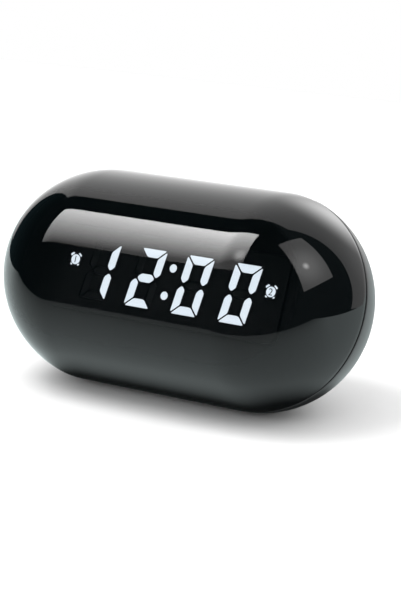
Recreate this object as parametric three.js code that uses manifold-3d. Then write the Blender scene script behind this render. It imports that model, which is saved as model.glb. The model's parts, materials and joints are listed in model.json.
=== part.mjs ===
// A pill-shaped digital alarm clock: a smoked front dome and a matt rear shell meet at a seam, and
// the whole body leans back on four rubber feet. Millimetres, +Z up, the display faces -Y.
//
// Inside the body group, Y runs along the depth of the body (the seam is at y = 0, the front is
// at negative y), X is the long way and Z is the short way across. The group leans back about X.
import * as THREE from 'three';
import { mergeVertices } from 'three/addons/utils/BufferGeometryUtils.js';
import Module from 'manifold-3d';

const wasm = await Module();
wasm.setup();

// Driving dimensions of the body
const END_RADIUS = 38; // radius of the round ends, at the seam
const SPINE = 33.5; // from the middle to the centre of each round end
const FRONT_DEPTH = 36; // seam to the front of the dome
const FRONT_FLARE = 5.6; // how far behind the seam the dome's ellipse is centred
const REAR_DEPTH = 34; // seam to the back of the rear shell
const REAR_FLARE = 1.6; // how far ahead of the seam the rear shell's ellipse is centred
const LEAN = THREE.MathUtils.degToRad(23); // the body leans back by this much
const FLAT_CUT = 0.5; // the flat on the underside takes this much off the lowest point
const FOOT_HEIGHT = 1; // from the flat on the underside down to the table
const WALL = 2.4; // both shells
const SEAM_GAP = 0.3; // the fine shadow line between the shells
const TONGUE = 2.4; // how far the front dome's lip reaches into the rear shell
const TONGUE_WALL = 1.15;

// Clearances
const GAP = 0.3; // between fixed pieces
const KEY_GAP = 0.35; // round a key in its hole

// Display
const DISPLAY_FRONT = 10.24; // face of the segment housing, ahead of the seam
const HOUSING_DEPTH = 7;
const HOUSING_WIDTH = 92;
const HOUSING_HEIGHT = 30;
const DIGIT_PITCH = 19.35;
const DIGIT_WIDTH = 11;
const DIGIT_HEIGHT = 20.9;
const SEGMENT = 3.1; // stroke of a segment
const SEGMENT_GAP = 0.32; // between neighbouring segments of a digit
const SLANT = THREE.MathUtils.degToRad(7.2);
const COLON_RISE = 4.9;
const COLON_RADIUS = 1.5;
const PICTOGRAM_REACH = 40.5; // from the middle to each alarm pictogram
const PICTOGRAM_RISE = 2.5;
const PICTOGRAM_RADIUS = 2.9;
const BAR_GAP = 0.3; // round a light bar in its window
const SHEET = 1; // base of the diffuser
const SHEET_MARGIN = 2; // housing wall round the diffuser
const SHEET_POCKET = 2.4; // depth of its pocket in the back of the housing
const BOARD = 1.6; // thickness of the two large circuit boards
const LED_BOARD_MARGIN = 1.5; // the display board stands out this far round the housing
const FRAME_RADIUS = 30;
const FRAME_PLATE = 2;
const FRAME_BACK = 7.2; // back face of the display frame's plate, ahead of the seam

// Case screws, and the legs and bosses that they join
const SCREW_X = 40;
const SCREW_Z = 19;
const SCREW_SHAFT = 1.2;
const SCREW_HEAD = 2.6;
const SCREW_HEAD_HEIGHT = 1.8;
const SCREW_LENGTH = 12;
const CROSS_LENGTH = 3; // of the cross in the screw head
const CROSS_WIDTH = 0.7;
const LEG_RADIUS = 3.2;
const LEG_END = 4.2; // the legs of the display frame reach this far behind the seam
const BOSS_RADIUS = 4.6;
const BOSS_FLOOR = 3; // thickness under the screw head

// Main board and what is on it
const MAIN_WIDTH = 69;
const MAIN_HEIGHT = 46;
const MAIN_FRONT = 1.2; // front face of the main board, behind the seam
const HEADER_LENGTH = 32;
const HEADER_WIDTH = 2.5;
const HEADER_Z = -12;

// Keys
const SNOOZE_MARGIN = 0.2; // between the bar's rim and the front dome's lip
const SNOOZE_LENGTH = 56;
const SNOOZE_WIDTH = 13;
const SNOOZE_TRAVEL = 0.9;
const KEYS_AT = 23; // behind the seam
const KEY_PITCH = 14;
const KEY_RADIUS = 3.75;
const KEY_TRAVEL = 0.7;
const KEY_PROUD = 0.8; // the keys stand this far out of the shell
const KEY_DEEP = 6; // the keys reach this far below the shell's surface
const FLANGE_ROOM = 1; // between the inside of the shell and a key's flange
const FLANGE = 0.9;
const FLANGE_RIM = 1;
const SWITCH_SIDE = 6;
const SWITCH_HEIGHT = 3.1;
const PLUNGER_RADIUS = 1.7;
const PLUNGER_HEIGHT = 0.5;
const SWITCH_SLACK = 0.15; // left between key and plunger at full travel
const KEY_BOARD = 1.2;
const KEY_BOARD_WIDTH = 8.4;

// Dimmer switch
const DIMMER_X = 20;
const DIMMER_Z = 12;
const DIMMER_TRAVEL = 3;
const DIMMER_KNOB = 4.4;
const DIMMER_KNOB_HEIGHT = 2;
const DIMMER_PROUD = 0.7;
const DIMMER_CASE_DEPTH = 6;
const DIMMER_CASE_FRONT = 26; // back face of the switch case, behind the seam

// Speaker and grille
const SPEAKER_X = -18;
const SPEAKER_RADIUS = 18;
const SPEAKER_FACE = 24.2; // behind the seam
const CONE_RADIUS = 15.2;
const CONE_TRAVEL = 0.6;
const MAGNET_RADIUS = 9.5;
const MAGNET_LENGTH = 5.6;
const BASKET_DEPTH = 10.2;
const BASKET_WALL = 1.2;
const GRILLE_RADIUS = 13;
const GRILLE_SLOT = 1.8;
const GRILLE_PITCH = 4;

// Coin cell, its cap and its cup in the rear shell
const CELL_LATITUDE = THREE.MathUtils.degToRad(-70); // round the rear ellipse, 0 is up
const CELL_RADIUS = 10;
const CELL_HEIGHT = 3.2;
const CAP_RADIUS = 12;
const CAP_THICKNESS = 1.6;
const CAP_SINK = 2.3; // the cap lies this far below the highest point of the shell there
const CAP_TURN = THREE.MathUtils.degToRad(40);
const LUG = 1.2; // how far the cap's lugs stand out
const LUG_WIDTH = 4;
const CUP_WALL = 1.5;
const CLIP = 0.4; // thickness of the contact spring under the cell
const CLIP_WIDTH = 5;
const LUG_THICKNESS = 0.7;
const COIN_SLOT_LENGTH = 14;
const COIN_SLOT_WIDTH = 1.6;
const COIN_SLOT_DEPTH = 0.8;

// Power inlet
const INLET_BORE = 3.1;
const INLET_PIN = 1;
const INLET_DEPTH = 9.5;
const INLET_COLLAR = 4.4;
const INLET_SINK = 1.2; // the collar's face lies this far below the back of the shell
const INLET_BODY = 10;

// Feet
const FOOT_RADIUS = 3.6;
const FOOT_X = 27;
const FOOT_FRONT_Y = -2.2;
const FOOT_REAR_Y = 12;

// How finely round shapes are divided
const PILL_SIDES = 40;
const DOME_STEPS = 10;
const ROUND = 20;
const SMALL_ROUND = 12;
const DISC_ROUND = 32;
const CURVE_STEPS = 5;

// Half axes of the rear shell's ellipse, along the depth and across it
const rearTip = REAR_DEPTH + REAR_FLARE;
const rearWidth = END_RADIUS / Math.sqrt(1 - (REAR_FLARE / rearTip) ** 2);

// Shapes: each helper returns a closed geometry already in its place

function block(x0, x1, y0, y1, z0, z1) {
  const box = new THREE.BoxGeometry(x1 - x0, y1 - y0, z1 - z0);
  return box.translate((x0 + x1) / 2, (y0 + y1) / 2, (z0 + z1) / 2);
}

// A rod along Z
function rodZ(radius, x, y, z0, z1, sides = ROUND) {
  const rod = new THREE.CylinderGeometry(radius, radius, z1 - z0, sides);
  return rod.rotateX(Math.PI / 2).translate(x, y, (z0 + z1) / 2);
}

// A rod along Y, the depth of the body
function rodY(radius, x, z, y0, y1, sides = ROUND) {
  const rod = new THREE.CylinderGeometry(radius, radius, y1 - y0, sides);
  return rod.translate(x, (y0 + y1) / 2, z);
}

// An outline in X and Y, pulled along Z
function pulled(shape, z0, z1, curveSegments = CURVE_STEPS) {
  const settings = { depth: z1 - z0, bevelEnabled: false, curveSegments };
  return new THREE.ExtrudeGeometry(shape, settings).translate(0, 0, z0);
}

// An outline in X and Z, pulled along Y from y0 back to y1
function pulledBack(shape, y0, y1) {
  return pulled(shape, -y1, -y0).rotateX(Math.PI / 2);
}

function slotShape(length, width) {
  const half = (length - width) / 2;
  const shape = new THREE.Shape();
  shape.absarc(half, 0, width / 2, -Math.PI / 2, Math.PI / 2, false);
  shape.absarc(-half, 0, width / 2, Math.PI / 2, 1.5 * Math.PI, false);
  return shape;
}

// A lathe turned about Y whose left and right halves are moved apart to the ends of the spine:
// straight walls close the middle. Its sides are tangent to the true circle.
function pill(points, spine = SPINE) {
  const step = (2 * Math.PI) / PILL_SIDES;
  const tangent = 1 / Math.cos(step / 2);
  const profile = points.map(([radius, y]) => new THREE.Vector2(radius * tangent, y));
  const lathe = new THREE.LatheGeometry(profile, PILL_SIDES, step / 2);
  const position = lathe.attributes.position;
  for (let i = 0; i < position.count; i += 1) {
    const column = Math.floor(i / profile.length);
    const side = Math.sign(Math.sin(step / 2 + column * step));
    position.setX(i, position.getX(i) + side * spine);
  }
  return lathe;
}

// Points of an elliptical dome from its rim, at the given distance from the seam, to its tip.
// direction is -1 for the front and +1 for the rear; inset makes the dome smaller all over.
function domeProfile(depth, flare, direction, inset, from = 0) {
  const tip = depth - inset + flare;
  const width = (END_RADIUS - inset) / Math.sqrt(1 - (flare / tip) ** 2);
  const start = Math.asin((from + flare) / tip);
  const points = [];
  for (let i = 0; i <= DOME_STEPS; i += 1) {
    const angle = start + ((Math.PI / 2 - start) * i) / DOME_STEPS;
    const radius = i === DOME_STEPS ? 0 : width * Math.cos(angle);
    points.push([radius, direction * (tip * Math.sin(angle) - flare)]);
  }
  return points;
}

function rearDome(inset) {
  return pill([[0, 0], ...domeProfile(REAR_DEPTH, REAR_FLARE, 1, inset)]);
}

// Where the middle of the rear shell has this latitude round its ellipse (0 is the top, 90
// degrees the back): local Z points straight out of the shell, local X stays the body's X.
function rearPlace(latitude, x) {
  const across = Math.cos(latitude);
  const back = Math.sin(Math.abs(latitude));
  const side = latitude < 0 ? -1 : 1;
  const outward = new THREE.Vector3(0, back / rearTip, (side * across) / rearWidth).normalize();
  const along = new THREE.Vector3(1, 0, 0);
  const third = new THREE.Vector3().crossVectors(outward, along);
  const place = new THREE.Matrix4().makeBasis(along, third, outward);
  return place.setPosition(x, rearTip * back - REAR_FLARE, side * rearWidth * across);
}

function latitudeAt(behindSeam) {
  return Math.asin((behindSeam + REAR_FLARE) / rearTip);
}

// Solids

function solid(geometry) {
  const bare = geometry.clone();
  bare.deleteAttribute('normal');
  bare.deleteAttribute('uv');
  const merged = mergeVertices(bare, 1e-4);
  const { array } = merged.attributes.position;
  const corners = merged.index.array;
  const triangles = [];
  let volume = 0;
  const [a, b, c] = [new THREE.Vector3(), new THREE.Vector3(), new THREE.Vector3()];
  for (let i = 0; i < corners.length; i += 3) {
    const [p, q, r] = [corners[i], corners[i + 1], corners[i + 2]];
    if (p !== q && q !== r && r !== p) {
      triangles.push(p, q, r);
      b.fromArray(array, 3 * q).cross(c.fromArray(array, 3 * r));
      volume += a.fromArray(array, 3 * p).dot(b);
    }
  }
  if (volume < 0) {
    triangles.reverse();
  }
  const vertProperties = new Float32Array(array);
  const triVerts = new Uint32Array(triangles);
  return new wasm.Manifold(new wasm.Mesh({ numProp: 3, vertProperties, triVerts }));
}

function join(first, ...others) {
  return others.reduce((sum, other) => sum.add(solid(other)), solid(first));
}

function cut(body, ...tools) {
  return tools.reduce((rest, tool) => rest.subtract(solid(tool)), body);
}

function toGeometry(body) {
  const { numProp, vertProperties, triVerts } = body.getMesh();
  const position = [];
  for (let i = 0; i < vertProperties.length; i += numProp) {
    position.push(vertProperties[i], vertProperties[i + 1], vertProperties[i + 2]);
  }
  const geometry = new THREE.BufferGeometry();
  geometry.setAttribute('position', new THREE.Float32BufferAttribute(position, 3));
  geometry.setIndex([...triVerts]);
  geometry.computeVertexNormals();
  return geometry;
}

function surface(color, roughness, metalness = 0) {
  return new THREE.MeshStandardMaterial({ color, roughness, metalness });
}

function add(parent, name, body, material) {
  const mesh = new THREE.Mesh(toGeometry(body), material);
  mesh.name = name;
  parent.add(mesh);
}

const smokedPlastic = surface('#0b0c0e', 0.05);
const caseBlack = surface('#1a1b1c', 0.45);
const innerBlack = surface('#101011', 0.7);
const keyRubber = surface('#202122', 0.6);
const footRubber = surface('#242424', 0.85);
const lightWhite = surface('#dfeaf2', 0.4);
const boardGreen = surface('#1f5a38', 0.5);
const chipBlack = surface('#161616', 0.55);
const bareMetal = surface('#b9bcc0', 0.35, 1);
const paperCone = surface('#2b2a28', 0.9);
const switchBlack = surface('#2a2a2b', 0.5);

const clock = new THREE.Group();
const body = new THREE.Group();
clock.add(body);


// Half height of the leaning rear shell, in closed form
const lowest = Math.hypot(rearTip * Math.sin(LEAN), rearWidth * Math.cos(LEAN));
const underside = lowest - REAR_FLARE * Math.sin(LEAN) - FLAT_CUT;
body.position.z = underside + FOOT_HEIGHT;
body.rotation.x = -LEAN;

// Shapes that stay upright although the body leans are turned back by this
const upright = new THREE.Matrix4().makeRotationX(LEAN);
const FAR = 2 * (END_RADIUS + SPINE);
const belowFlat = block(-FAR, FAR, -FAR, FAR, -FAR, -underside).applyMatrix4(upright);

// Front dome, with the lip that locates it in the rear shell
const rim = SEAM_GAP / 2;
const tongueOuter = END_RADIUS - WALL + TONGUE_WALL;
const tongueInner = END_RADIUS - WALL;
const frontShell = pill([
  ...domeProfile(FRONT_DEPTH, FRONT_FLARE, -1, 0, rim).reverse(),
  [tongueOuter, -rim],
  [tongueOuter, TONGUE],
  [tongueInner, TONGUE],
  ...domeProfile(FRONT_DEPTH, FRONT_FLARE, -1, WALL),
]);
add(body, 'front_shell', cut(solid(frontShell), belowFlat), smokedPlastic);

// Rear shell: the bare shell first
const rebateDepth = TONGUE + GAP;
const rearBare = solid(pill([
  ...domeProfile(REAR_DEPTH, REAR_FLARE, 1, 0, rim).reverse(),
  [tongueOuter + GAP, rim],
  [tongueOuter + GAP, rebateDepth],
  ...domeProfile(REAR_DEPTH, REAR_FLARE, 1, WALL, rebateDepth),
]));
const insideWall = solid(rearDome(WALL / 2));

// Case screws: legs on the display frame, bosses in the rear shell
const screwCorners = [[-1, 1], [1, 1], [-1, -1], [1, -1]];
const bossFront = LEG_END + GAP;
const headSeat = bossFront + BOSS_FLOOR;
const bosses = [];
const screwWays = [];
for (const [sideX, sideZ] of screwCorners) {
  const [x, z] = [sideX * SCREW_X, sideZ * SCREW_Z];
  bosses.push(rodY(BOSS_RADIUS, x, z, bossFront, REAR_DEPTH));
  screwWays.push(rodY(SCREW_HEAD + 2 * GAP, x, z, headSeat, FAR, SMALL_ROUND));
  screwWays.push(rodY(SCREW_SHAFT + GAP, x, z, 0, REAR_DEPTH, SMALL_ROUND));
}

// Snooze bar and keys: each goes straight into the shell, and its head follows the shell's curve
const keyRise = solid(rearDome(-KEY_PROUD));
const keyHoles = [];

const flangeTop = -WALL - FLANGE_ROOM;
function addKey(name, place, headShape, flangeShape, holeShape) {
  const head = solid(pulled(headShape, -KEY_DEEP, FAR / 2).applyMatrix4(place));
  const flange = pulled(flangeShape, flangeTop - FLANGE, flangeTop).applyMatrix4(place);
  add(body, name, head.intersect(keyRise).add(solid(flange)), keyRubber);
  keyHoles.push(pulled(holeShape, flangeTop, FAR / 2).applyMatrix4(place));
}

function addSwitch(name, place, travel) {
  const top = -KEY_DEEP - travel - SWITCH_SLACK;
  const capTop = top - PLUNGER_HEIGHT;
  const half = SWITCH_SIDE / 2;
  const can = block(-half, half, -half, half, capTop - SWITCH_HEIGHT, capTop);
  const plunger = rodZ(PLUNGER_RADIUS, 0, 0, capTop - 1, top, SMALL_ROUND);
  add(body, name, join(can.applyMatrix4(place), plunger.applyMatrix4(place)), switchBlack);
}

function addKeyBoard(name, place, length, travel) {
  const face = -KEY_DEEP - travel - SWITCH_SLACK - PLUNGER_HEIGHT - SWITCH_HEIGHT - GAP;
  const half = KEY_BOARD_WIDTH / 2;
  const board = block(-length / 2, length / 2, -half, half, face - KEY_BOARD, face);
  add(body, name, solid(board.applyMatrix4(place)), boardGreen);
}

const snoozeAt = TONGUE + GAP + SNOOZE_MARGIN + FLANGE_RIM + SNOOZE_WIDTH / 2;
const snoozePlace = rearPlace(latitudeAt(snoozeAt), 0);
addKey(
  'snooze_bar',
  snoozePlace,
  slotShape(SNOOZE_LENGTH, SNOOZE_WIDTH),
  slotShape(SNOOZE_LENGTH + 2 * FLANGE_RIM, SNOOZE_WIDTH + 2 * FLANGE_RIM),
  slotShape(SNOOZE_LENGTH + 2 * KEY_GAP, SNOOZE_WIDTH + 2 * KEY_GAP),
);
addSwitch('snooze_switch', snoozePlace, SNOOZE_TRAVEL);
addKeyBoard('snooze_board', snoozePlace, SNOOZE_LENGTH, SNOOZE_TRAVEL);

function disc(radius) {
  return new THREE.Shape().absarc(0, 0, radius, 0, 2 * Math.PI, false);
}

const keyNames = ['alarm_1_key', 'minus_key', 'time_key', 'plus_key', 'alarm_2_key'];
keyNames.forEach((name, i) => {
  const x = (i - (keyNames.length - 1) / 2) * KEY_PITCH;
  const place = rearPlace(latitudeAt(KEYS_AT), x);
  addKey(name, place, disc(KEY_RADIUS), disc(KEY_RADIUS + FLANGE_RIM), disc(KEY_RADIUS + KEY_GAP));
  addSwitch(name.replace('key', 'switch'), place, KEY_TRAVEL);
});
const keyRowLength = (keyNames.length - 1) * KEY_PITCH + SWITCH_SIDE;
addKeyBoard('key_board', rearPlace(latitudeAt(KEYS_AT), 0), keyRowLength, KEY_TRAVEL);

// Dimmer: a knob that slides along X in its slot, on a switch case
const knobEnd = DIMMER_X - DIMMER_TRAVEL / 2 - DIMMER_KNOB / 2;
const knobHalf = DIMMER_KNOB_HEIGHT / 2;
const dimmerSurface = rearTip * Math.sqrt(1 - (DIMMER_Z / END_RADIUS) ** 2) - REAR_FLARE;
const knobTip = dimmerSurface + DIMMER_PROUD;
const knob = block(
  knobEnd,
  knobEnd + DIMMER_KNOB,
  DIMMER_CASE_FRONT + GAP,
  knobTip,
  DIMMER_Z - knobHalf,
  DIMMER_Z + knobHalf,
);
add(body, 'dimmer_knob', solid(knob), keyRubber);
const slotHalf = (DIMMER_KNOB + DIMMER_TRAVEL) / 2 + GAP;
const dimmerSlot = block(
  DIMMER_X - slotHalf,
  DIMMER_X + slotHalf,
  DIMMER_CASE_FRONT,
  FAR,
  DIMMER_Z - knobHalf - GAP,
  DIMMER_Z + knobHalf + GAP,
);
const dimmerCase = block(
  DIMMER_X - slotHalf - 1,
  DIMMER_X + slotHalf + 1,
  DIMMER_CASE_FRONT - DIMMER_CASE_DEPTH,
  DIMMER_CASE_FRONT,
  DIMMER_Z - knobHalf - 2,
  DIMMER_Z + knobHalf + 2,
);
add(body, 'dimmer_case', solid(dimmerCase), switchBlack);

// Speaker: basket, magnet and cone behind a slotted grille, on a ring inside the rear shell
const basketFloor = SPEAKER_FACE - BASKET_DEPTH;
const coneRoom = CONE_RADIUS + 0.4;
function turned(points) {
  const profile = points.map(([radius, y]) => new THREE.Vector2(radius, y));
  return new THREE.LatheGeometry(profile, ROUND).translate(SPEAKER_X, 0, 0);
}
const basket = turned([
  [SPEAKER_RADIUS, SPEAKER_FACE - BASKET_WALL],
  [SPEAKER_RADIUS, SPEAKER_FACE],
  [coneRoom, SPEAKER_FACE],
  [coneRoom, SPEAKER_FACE - 2.7],
  [MAGNET_RADIUS - BASKET_WALL, basketFloor + BASKET_WALL],
  [3, basketFloor + BASKET_WALL],
  [3, basketFloor],
  [MAGNET_RADIUS, basketFloor],
  [coneRoom + BASKET_WALL, SPEAKER_FACE - 3.2],
  [coneRoom + BASKET_WALL, SPEAKER_FACE - BASKET_WALL],
  [SPEAKER_RADIUS, SPEAKER_FACE - BASKET_WALL],
]);
add(body, 'speaker_basket', solid(basket), bareMetal);
const magnetBack = basketFloor - GAP;
const magnet = rodY(MAGNET_RADIUS, SPEAKER_X, 0, magnetBack - MAGNET_LENGTH, magnetBack);
add(body, 'speaker_magnet', solid(magnet), chipBlack);
const coneTop = SPEAKER_FACE - CONE_TRAVEL - 0.2;
const cone = turned([
  [0, SPEAKER_FACE - 3.8],
  [2.4, SPEAKER_FACE - 4.3],
  [4.2, SPEAKER_FACE - 5.4],
  [CONE_RADIUS - 1.8, coneTop - 0.6],
  [CONE_RADIUS - 0.9, coneTop],
  [CONE_RADIUS, SPEAKER_FACE - 1.1],
  [CONE_RADIUS, SPEAKER_FACE - 1.6],
  [CONE_RADIUS - 1.7, SPEAKER_FACE - 2.1],
  [4.4, SPEAKER_FACE - 6.1],
  [0, SPEAKER_FACE - 5.2],
]);
add(body, 'speaker_cone', solid(cone), paperCone);
const seatRing = cut(
  solid(rodY(SPEAKER_RADIUS, SPEAKER_X, 0, SPEAKER_FACE + GAP, REAR_DEPTH, DISC_ROUND)),
  rodY(SPEAKER_RADIUS - 2, SPEAKER_X, 0, 0, FAR, DISC_ROUND),
);
const grilleSlots = [];
for (let z = -GRILLE_PITCH * 3; z <= GRILLE_PITCH * 3; z += GRILLE_PITCH) {
  const length = 2 * Math.sqrt(GRILLE_RADIUS ** 2 - z ** 2) + GRILLE_SLOT;
  const slot = pulledBack(slotShape(length, GRILLE_SLOT), SPEAKER_FACE + GAP, FAR);
  grilleSlots.push(slot.translate(SPEAKER_X, 0, z));
}

// Coin cell in a cup, under a cap that turns to lock
const cupRadius = CAP_RADIUS + LUG + 2 * GAP + CUP_WALL;
const cellX = SPEAKER_X + SPEAKER_RADIUS + cupRadius;
const cellPlace = rearPlace(CELL_LATITUDE, cellX);
const capBottom = -CAP_SINK - CAP_THICKNESS;
const cellTop = capBottom - GAP;
const cupFloor = cellTop - CELL_HEIGHT - GAP - CLIP - GAP;
const lugTop = capBottom + LUG_THICKNESS;
const cup = rodZ(cupRadius, 0, 0, cupFloor - CUP_WALL, 0, DISC_ROUND).applyMatrix4(cellPlace);
const lugNotch = (sign) => {
  const half = LUG_WIDTH / 2 + GAP;
  const outer = CAP_RADIUS + LUG + GAP;
  const [from, to] = sign > 0 ? [0, outer] : [-outer, 0];
  const notch = block(from, to, -half, half, capBottom - GAP, FAR);
  return notch.rotateZ(CAP_TURN).applyMatrix4(cellPlace);
};
const cupCuts = [
  rodZ(CAP_RADIUS + GAP, 0, 0, capBottom - GAP, FAR, DISC_ROUND).applyMatrix4(cellPlace),
  rodZ(CAP_RADIUS + LUG + GAP, 0, 0, capBottom - GAP, lugTop + GAP, DISC_ROUND).applyMatrix4(cellPlace),
  rodZ(CELL_RADIUS + GAP, 0, 0, cupFloor, 0, DISC_ROUND).applyMatrix4(cellPlace),
  lugNotch(1),
  lugNotch(-1),
];
const capDisc = rodZ(CAP_RADIUS, 0, 0, capBottom, -CAP_SINK, DISC_ROUND).applyMatrix4(cellPlace);
const lugSpan = CAP_RADIUS + LUG;
const lugHalf = LUG_WIDTH / 2;
const lugs = block(-lugSpan, lugSpan, -lugHalf, lugHalf, capBottom, lugTop).applyMatrix4(cellPlace);
const [slotLong, slotWide] = [COIN_SLOT_LENGTH / 2, COIN_SLOT_WIDTH / 2];
const coinSlotTop = -CAP_SINK - COIN_SLOT_DEPTH;
const coinSlot = block(-slotLong, slotLong, -slotWide, slotWide, coinSlotTop, 0).applyMatrix4(cellPlace);
add(body, 'battery_cap', cut(join(capDisc, lugs), coinSlot), caseBlack);
const cell = rodZ(CELL_RADIUS, 0, 0, cellTop - CELL_HEIGHT, cellTop, DISC_ROUND);
add(body, 'coin_cell', solid(cell.applyMatrix4(cellPlace)), bareMetal);
const clipTop = cellTop - CELL_HEIGHT - GAP;
const clip = pulled(slotShape(2 * CELL_RADIUS - 2, CLIP_WIDTH), clipTop - CLIP, clipTop);
add(body, 'battery_contact', solid(clip.applyMatrix4(cellPlace)), bareMetal);

// Power inlet: a round socket with a centre pin
const inletFace = REAR_DEPTH - INLET_SINK;
const inletBack = inletFace - INLET_DEPTH - 2;
const inletHalf = INLET_BODY / 2;
const inletX = cellX + cupRadius + inletHalf;
const collarSeat = inletFace - WALL - 2;
const inlet = cut(
  join(
    block(inletX - inletHalf, inletX + inletHalf, inletBack, collarSeat, -inletHalf, inletHalf),
    rodY(INLET_COLLAR, inletX, 0, inletBack + 1, inletFace),
  ),
  rodY(INLET_BORE, inletX, 0, inletFace - INLET_DEPTH, FAR),
);
add(body, 'power_inlet', inlet, chipBlack);
const pinFoot = inletFace - INLET_DEPTH + GAP;
add(body, 'inlet_pin', solid(rodY(INLET_PIN, inletX, 0, pinFoot, inletFace - 1, SMALL_ROUND)), bareMetal);
const inletHole = rodY(INLET_COLLAR + GAP, inletX, 0, collarSeat, FAR);

// Rear shell, finished: what is added stays inside its wall
const fittings = join(bosses[0], ...bosses.slice(1), cup).add(seatRing).intersect(insideWall);
const rearWhole = rearBare.add(fittings);
const plainHoles = [belowFlat, inletHole, dimmerSlot];
const openings = [...plainHoles, ...screwWays, ...keyHoles, ...grilleSlots, ...cupCuts];
add(body, 'rear_shell', cut(rearWhole, ...openings), caseBlack);

// Case screws, driven from the back into the legs of the display frame
screwCorners.forEach(([sideX, sideZ], i) => {
  const [x, z] = [sideX * SCREW_X, sideZ * SCREW_Z];
  const under = headSeat + GAP;
  const head = rodY(SCREW_HEAD, x, z, under, under + SCREW_HEAD_HEIGHT, SMALL_ROUND);
  const shaft = rodY(SCREW_SHAFT, x, z, under - SCREW_LENGTH, under + 1, SMALL_ROUND);
  const [armLong, armWide] = [CROSS_LENGTH / 2, CROSS_WIDTH / 2];
  const driveLong = block(x - armLong, x + armLong, under + 1, FAR, z - armWide, z + armWide);
  const driveShort = block(x - armWide, x + armWide, under + 1, FAR, z - armLong, z + armLong);
  add(body, `case_screw_${i + 1}`, cut(join(head, shaft), driveLong, driveShort), bareMetal);
});

// Display frame: a black plate that fills the dome behind the display, with four legs
const housingBack = -DISPLAY_FRONT + HOUSING_DEPTH;
const halfWide = HOUSING_WIDTH / 2;
const halfHigh = HOUSING_HEIGHT / 2;
const plateFront = -FRAME_BACK - FRAME_PLATE;
const plate = pill([
  [0, plateFront],
  [FRAME_RADIUS, plateFront],
  [FRAME_RADIUS, -FRAME_BACK],
  [0, -FRAME_BACK],
]);
const legs = screwCorners.map(([sideX, sideZ]) => (
  rodY(LEG_RADIUS, sideX * SCREW_X, sideZ * SCREW_Z, -FRAME_BACK - 1, LEG_END, SMALL_ROUND)
));
const pilots = screwCorners.map(([sideX, sideZ]) => {
  const deep = headSeat - SCREW_LENGTH;
  return rodY(SCREW_SHAFT + GAP, sideX * SCREW_X, sideZ * SCREW_Z, deep, FAR, SMALL_ROUND);
});
const window = block(-halfWide - GAP, halfWide + GAP, -FAR, FAR, -halfHigh - GAP, halfHigh + GAP);
add(body, 'display_frame', cut(join(plate, ...legs), window, ...pilots), innerBlack);

// Seven segments of one digit, as outlines about the digit's centre. inset shrinks each one.
function segmentOutlines(inset) {
  const right = DIGIT_WIDTH / 2;
  const top = DIGIT_HEIGHT / 2;
  const slit = SEGMENT_GAP / Math.SQRT2 + inset;
  const mitre = slit * Math.SQRT2;
  const inner = SEGMENT - inset;
  const half = SEGMENT / 2 - inset;
  const side = (sx, sz) => [
    [right - inset, top - mitre - inset],
    [right - inset, half + mitre],
    [right - SEGMENT / 2, mitre],
    [right - inner, half + mitre],
    [right - inner, top - inner - mitre],
  ].map(([x, z]) => [sx * x, sz * z]);
  const flat = (sz) => [
    [-(right - mitre - inset), sz * (top - inset)],
    [right - mitre - inset, sz * (top - inset)],
    [right - inner - mitre, sz * (top - inner)],
    [-(right - inner - mitre), sz * (top - inner)],
  ];
  const tipX = right - SEGMENT / 2 - mitre;
  const shoulder = tipX - half;
  const middle = [
    [-tipX, 0],
    [-shoulder, half],
    [shoulder, half],
    [tipX, 0],
    [shoulder, -half],
    [-shoulder, -half],
  ];
  return [flat(1), flat(-1), middle, side(1, 1), side(-1, 1), side(1, -1), side(-1, -1)];
}

function slanted(points, centreX) {
  const outline = points.map(([x, z]) => new THREE.Vector2(centreX + x + z * Math.tan(SLANT), z));
  return new THREE.Shape(outline);
}

// Every window in the housing, or every light bar of the diffuser when inset is its gap
function displayShapes(inset) {
  const shapes = [];
  for (const place of [-1.5, -0.5, 0.5, 1.5]) {
    const centreX = place * DIGIT_PITCH;
    shapes.push(...segmentOutlines(inset).map((points) => slanted(points, centreX)));
  }
  const dots = [
    [COLON_RISE * Math.tan(SLANT), COLON_RISE, COLON_RADIUS],
    [-COLON_RISE * Math.tan(SLANT), -COLON_RISE, COLON_RADIUS],
    [-PICTOGRAM_REACH, PICTOGRAM_RISE, PICTOGRAM_RADIUS],
    [PICTOGRAM_REACH, PICTOGRAM_RISE, PICTOGRAM_RADIUS],
  ];
  for (const [x, z, radius] of dots) {
    shapes.push(new THREE.Shape().absarc(x, z, radius - inset, 0, 2 * Math.PI, false));
  }
  return shapes;
}

const housingBlock = block(-halfWide, halfWide, -DISPLAY_FRONT, housingBack, -halfHigh, halfHigh);
const pocketFront = housingBack - SHEET_POCKET;
const sheetWide = halfWide - SHEET_MARGIN - GAP;
const sheetHigh = halfHigh - SHEET_MARGIN - GAP;
const pocket = block(-sheetWide - GAP, sheetWide + GAP, pocketFront, FAR, -sheetHigh - GAP, sheetHigh + GAP);
const windows = displayShapes(0).map((shape) => pulledBack(shape, -FAR, FAR));
add(body, 'led_housing', cut(solid(housingBlock), pocket, ...windows), innerBlack);
const sheetFront = pocketFront + GAP;
const sheet = block(-sheetWide, sheetWide, sheetFront, sheetFront + SHEET, -sheetHigh, sheetHigh);
const barTip = -DISPLAY_FRONT + GAP;
const bars = displayShapes(BAR_GAP).map((shape) => pulledBack(shape, barTip, sheetFront + SHEET / 2));
add(body, 'led_diffuser', join(sheet, ...bars), lightWhite);

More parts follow.
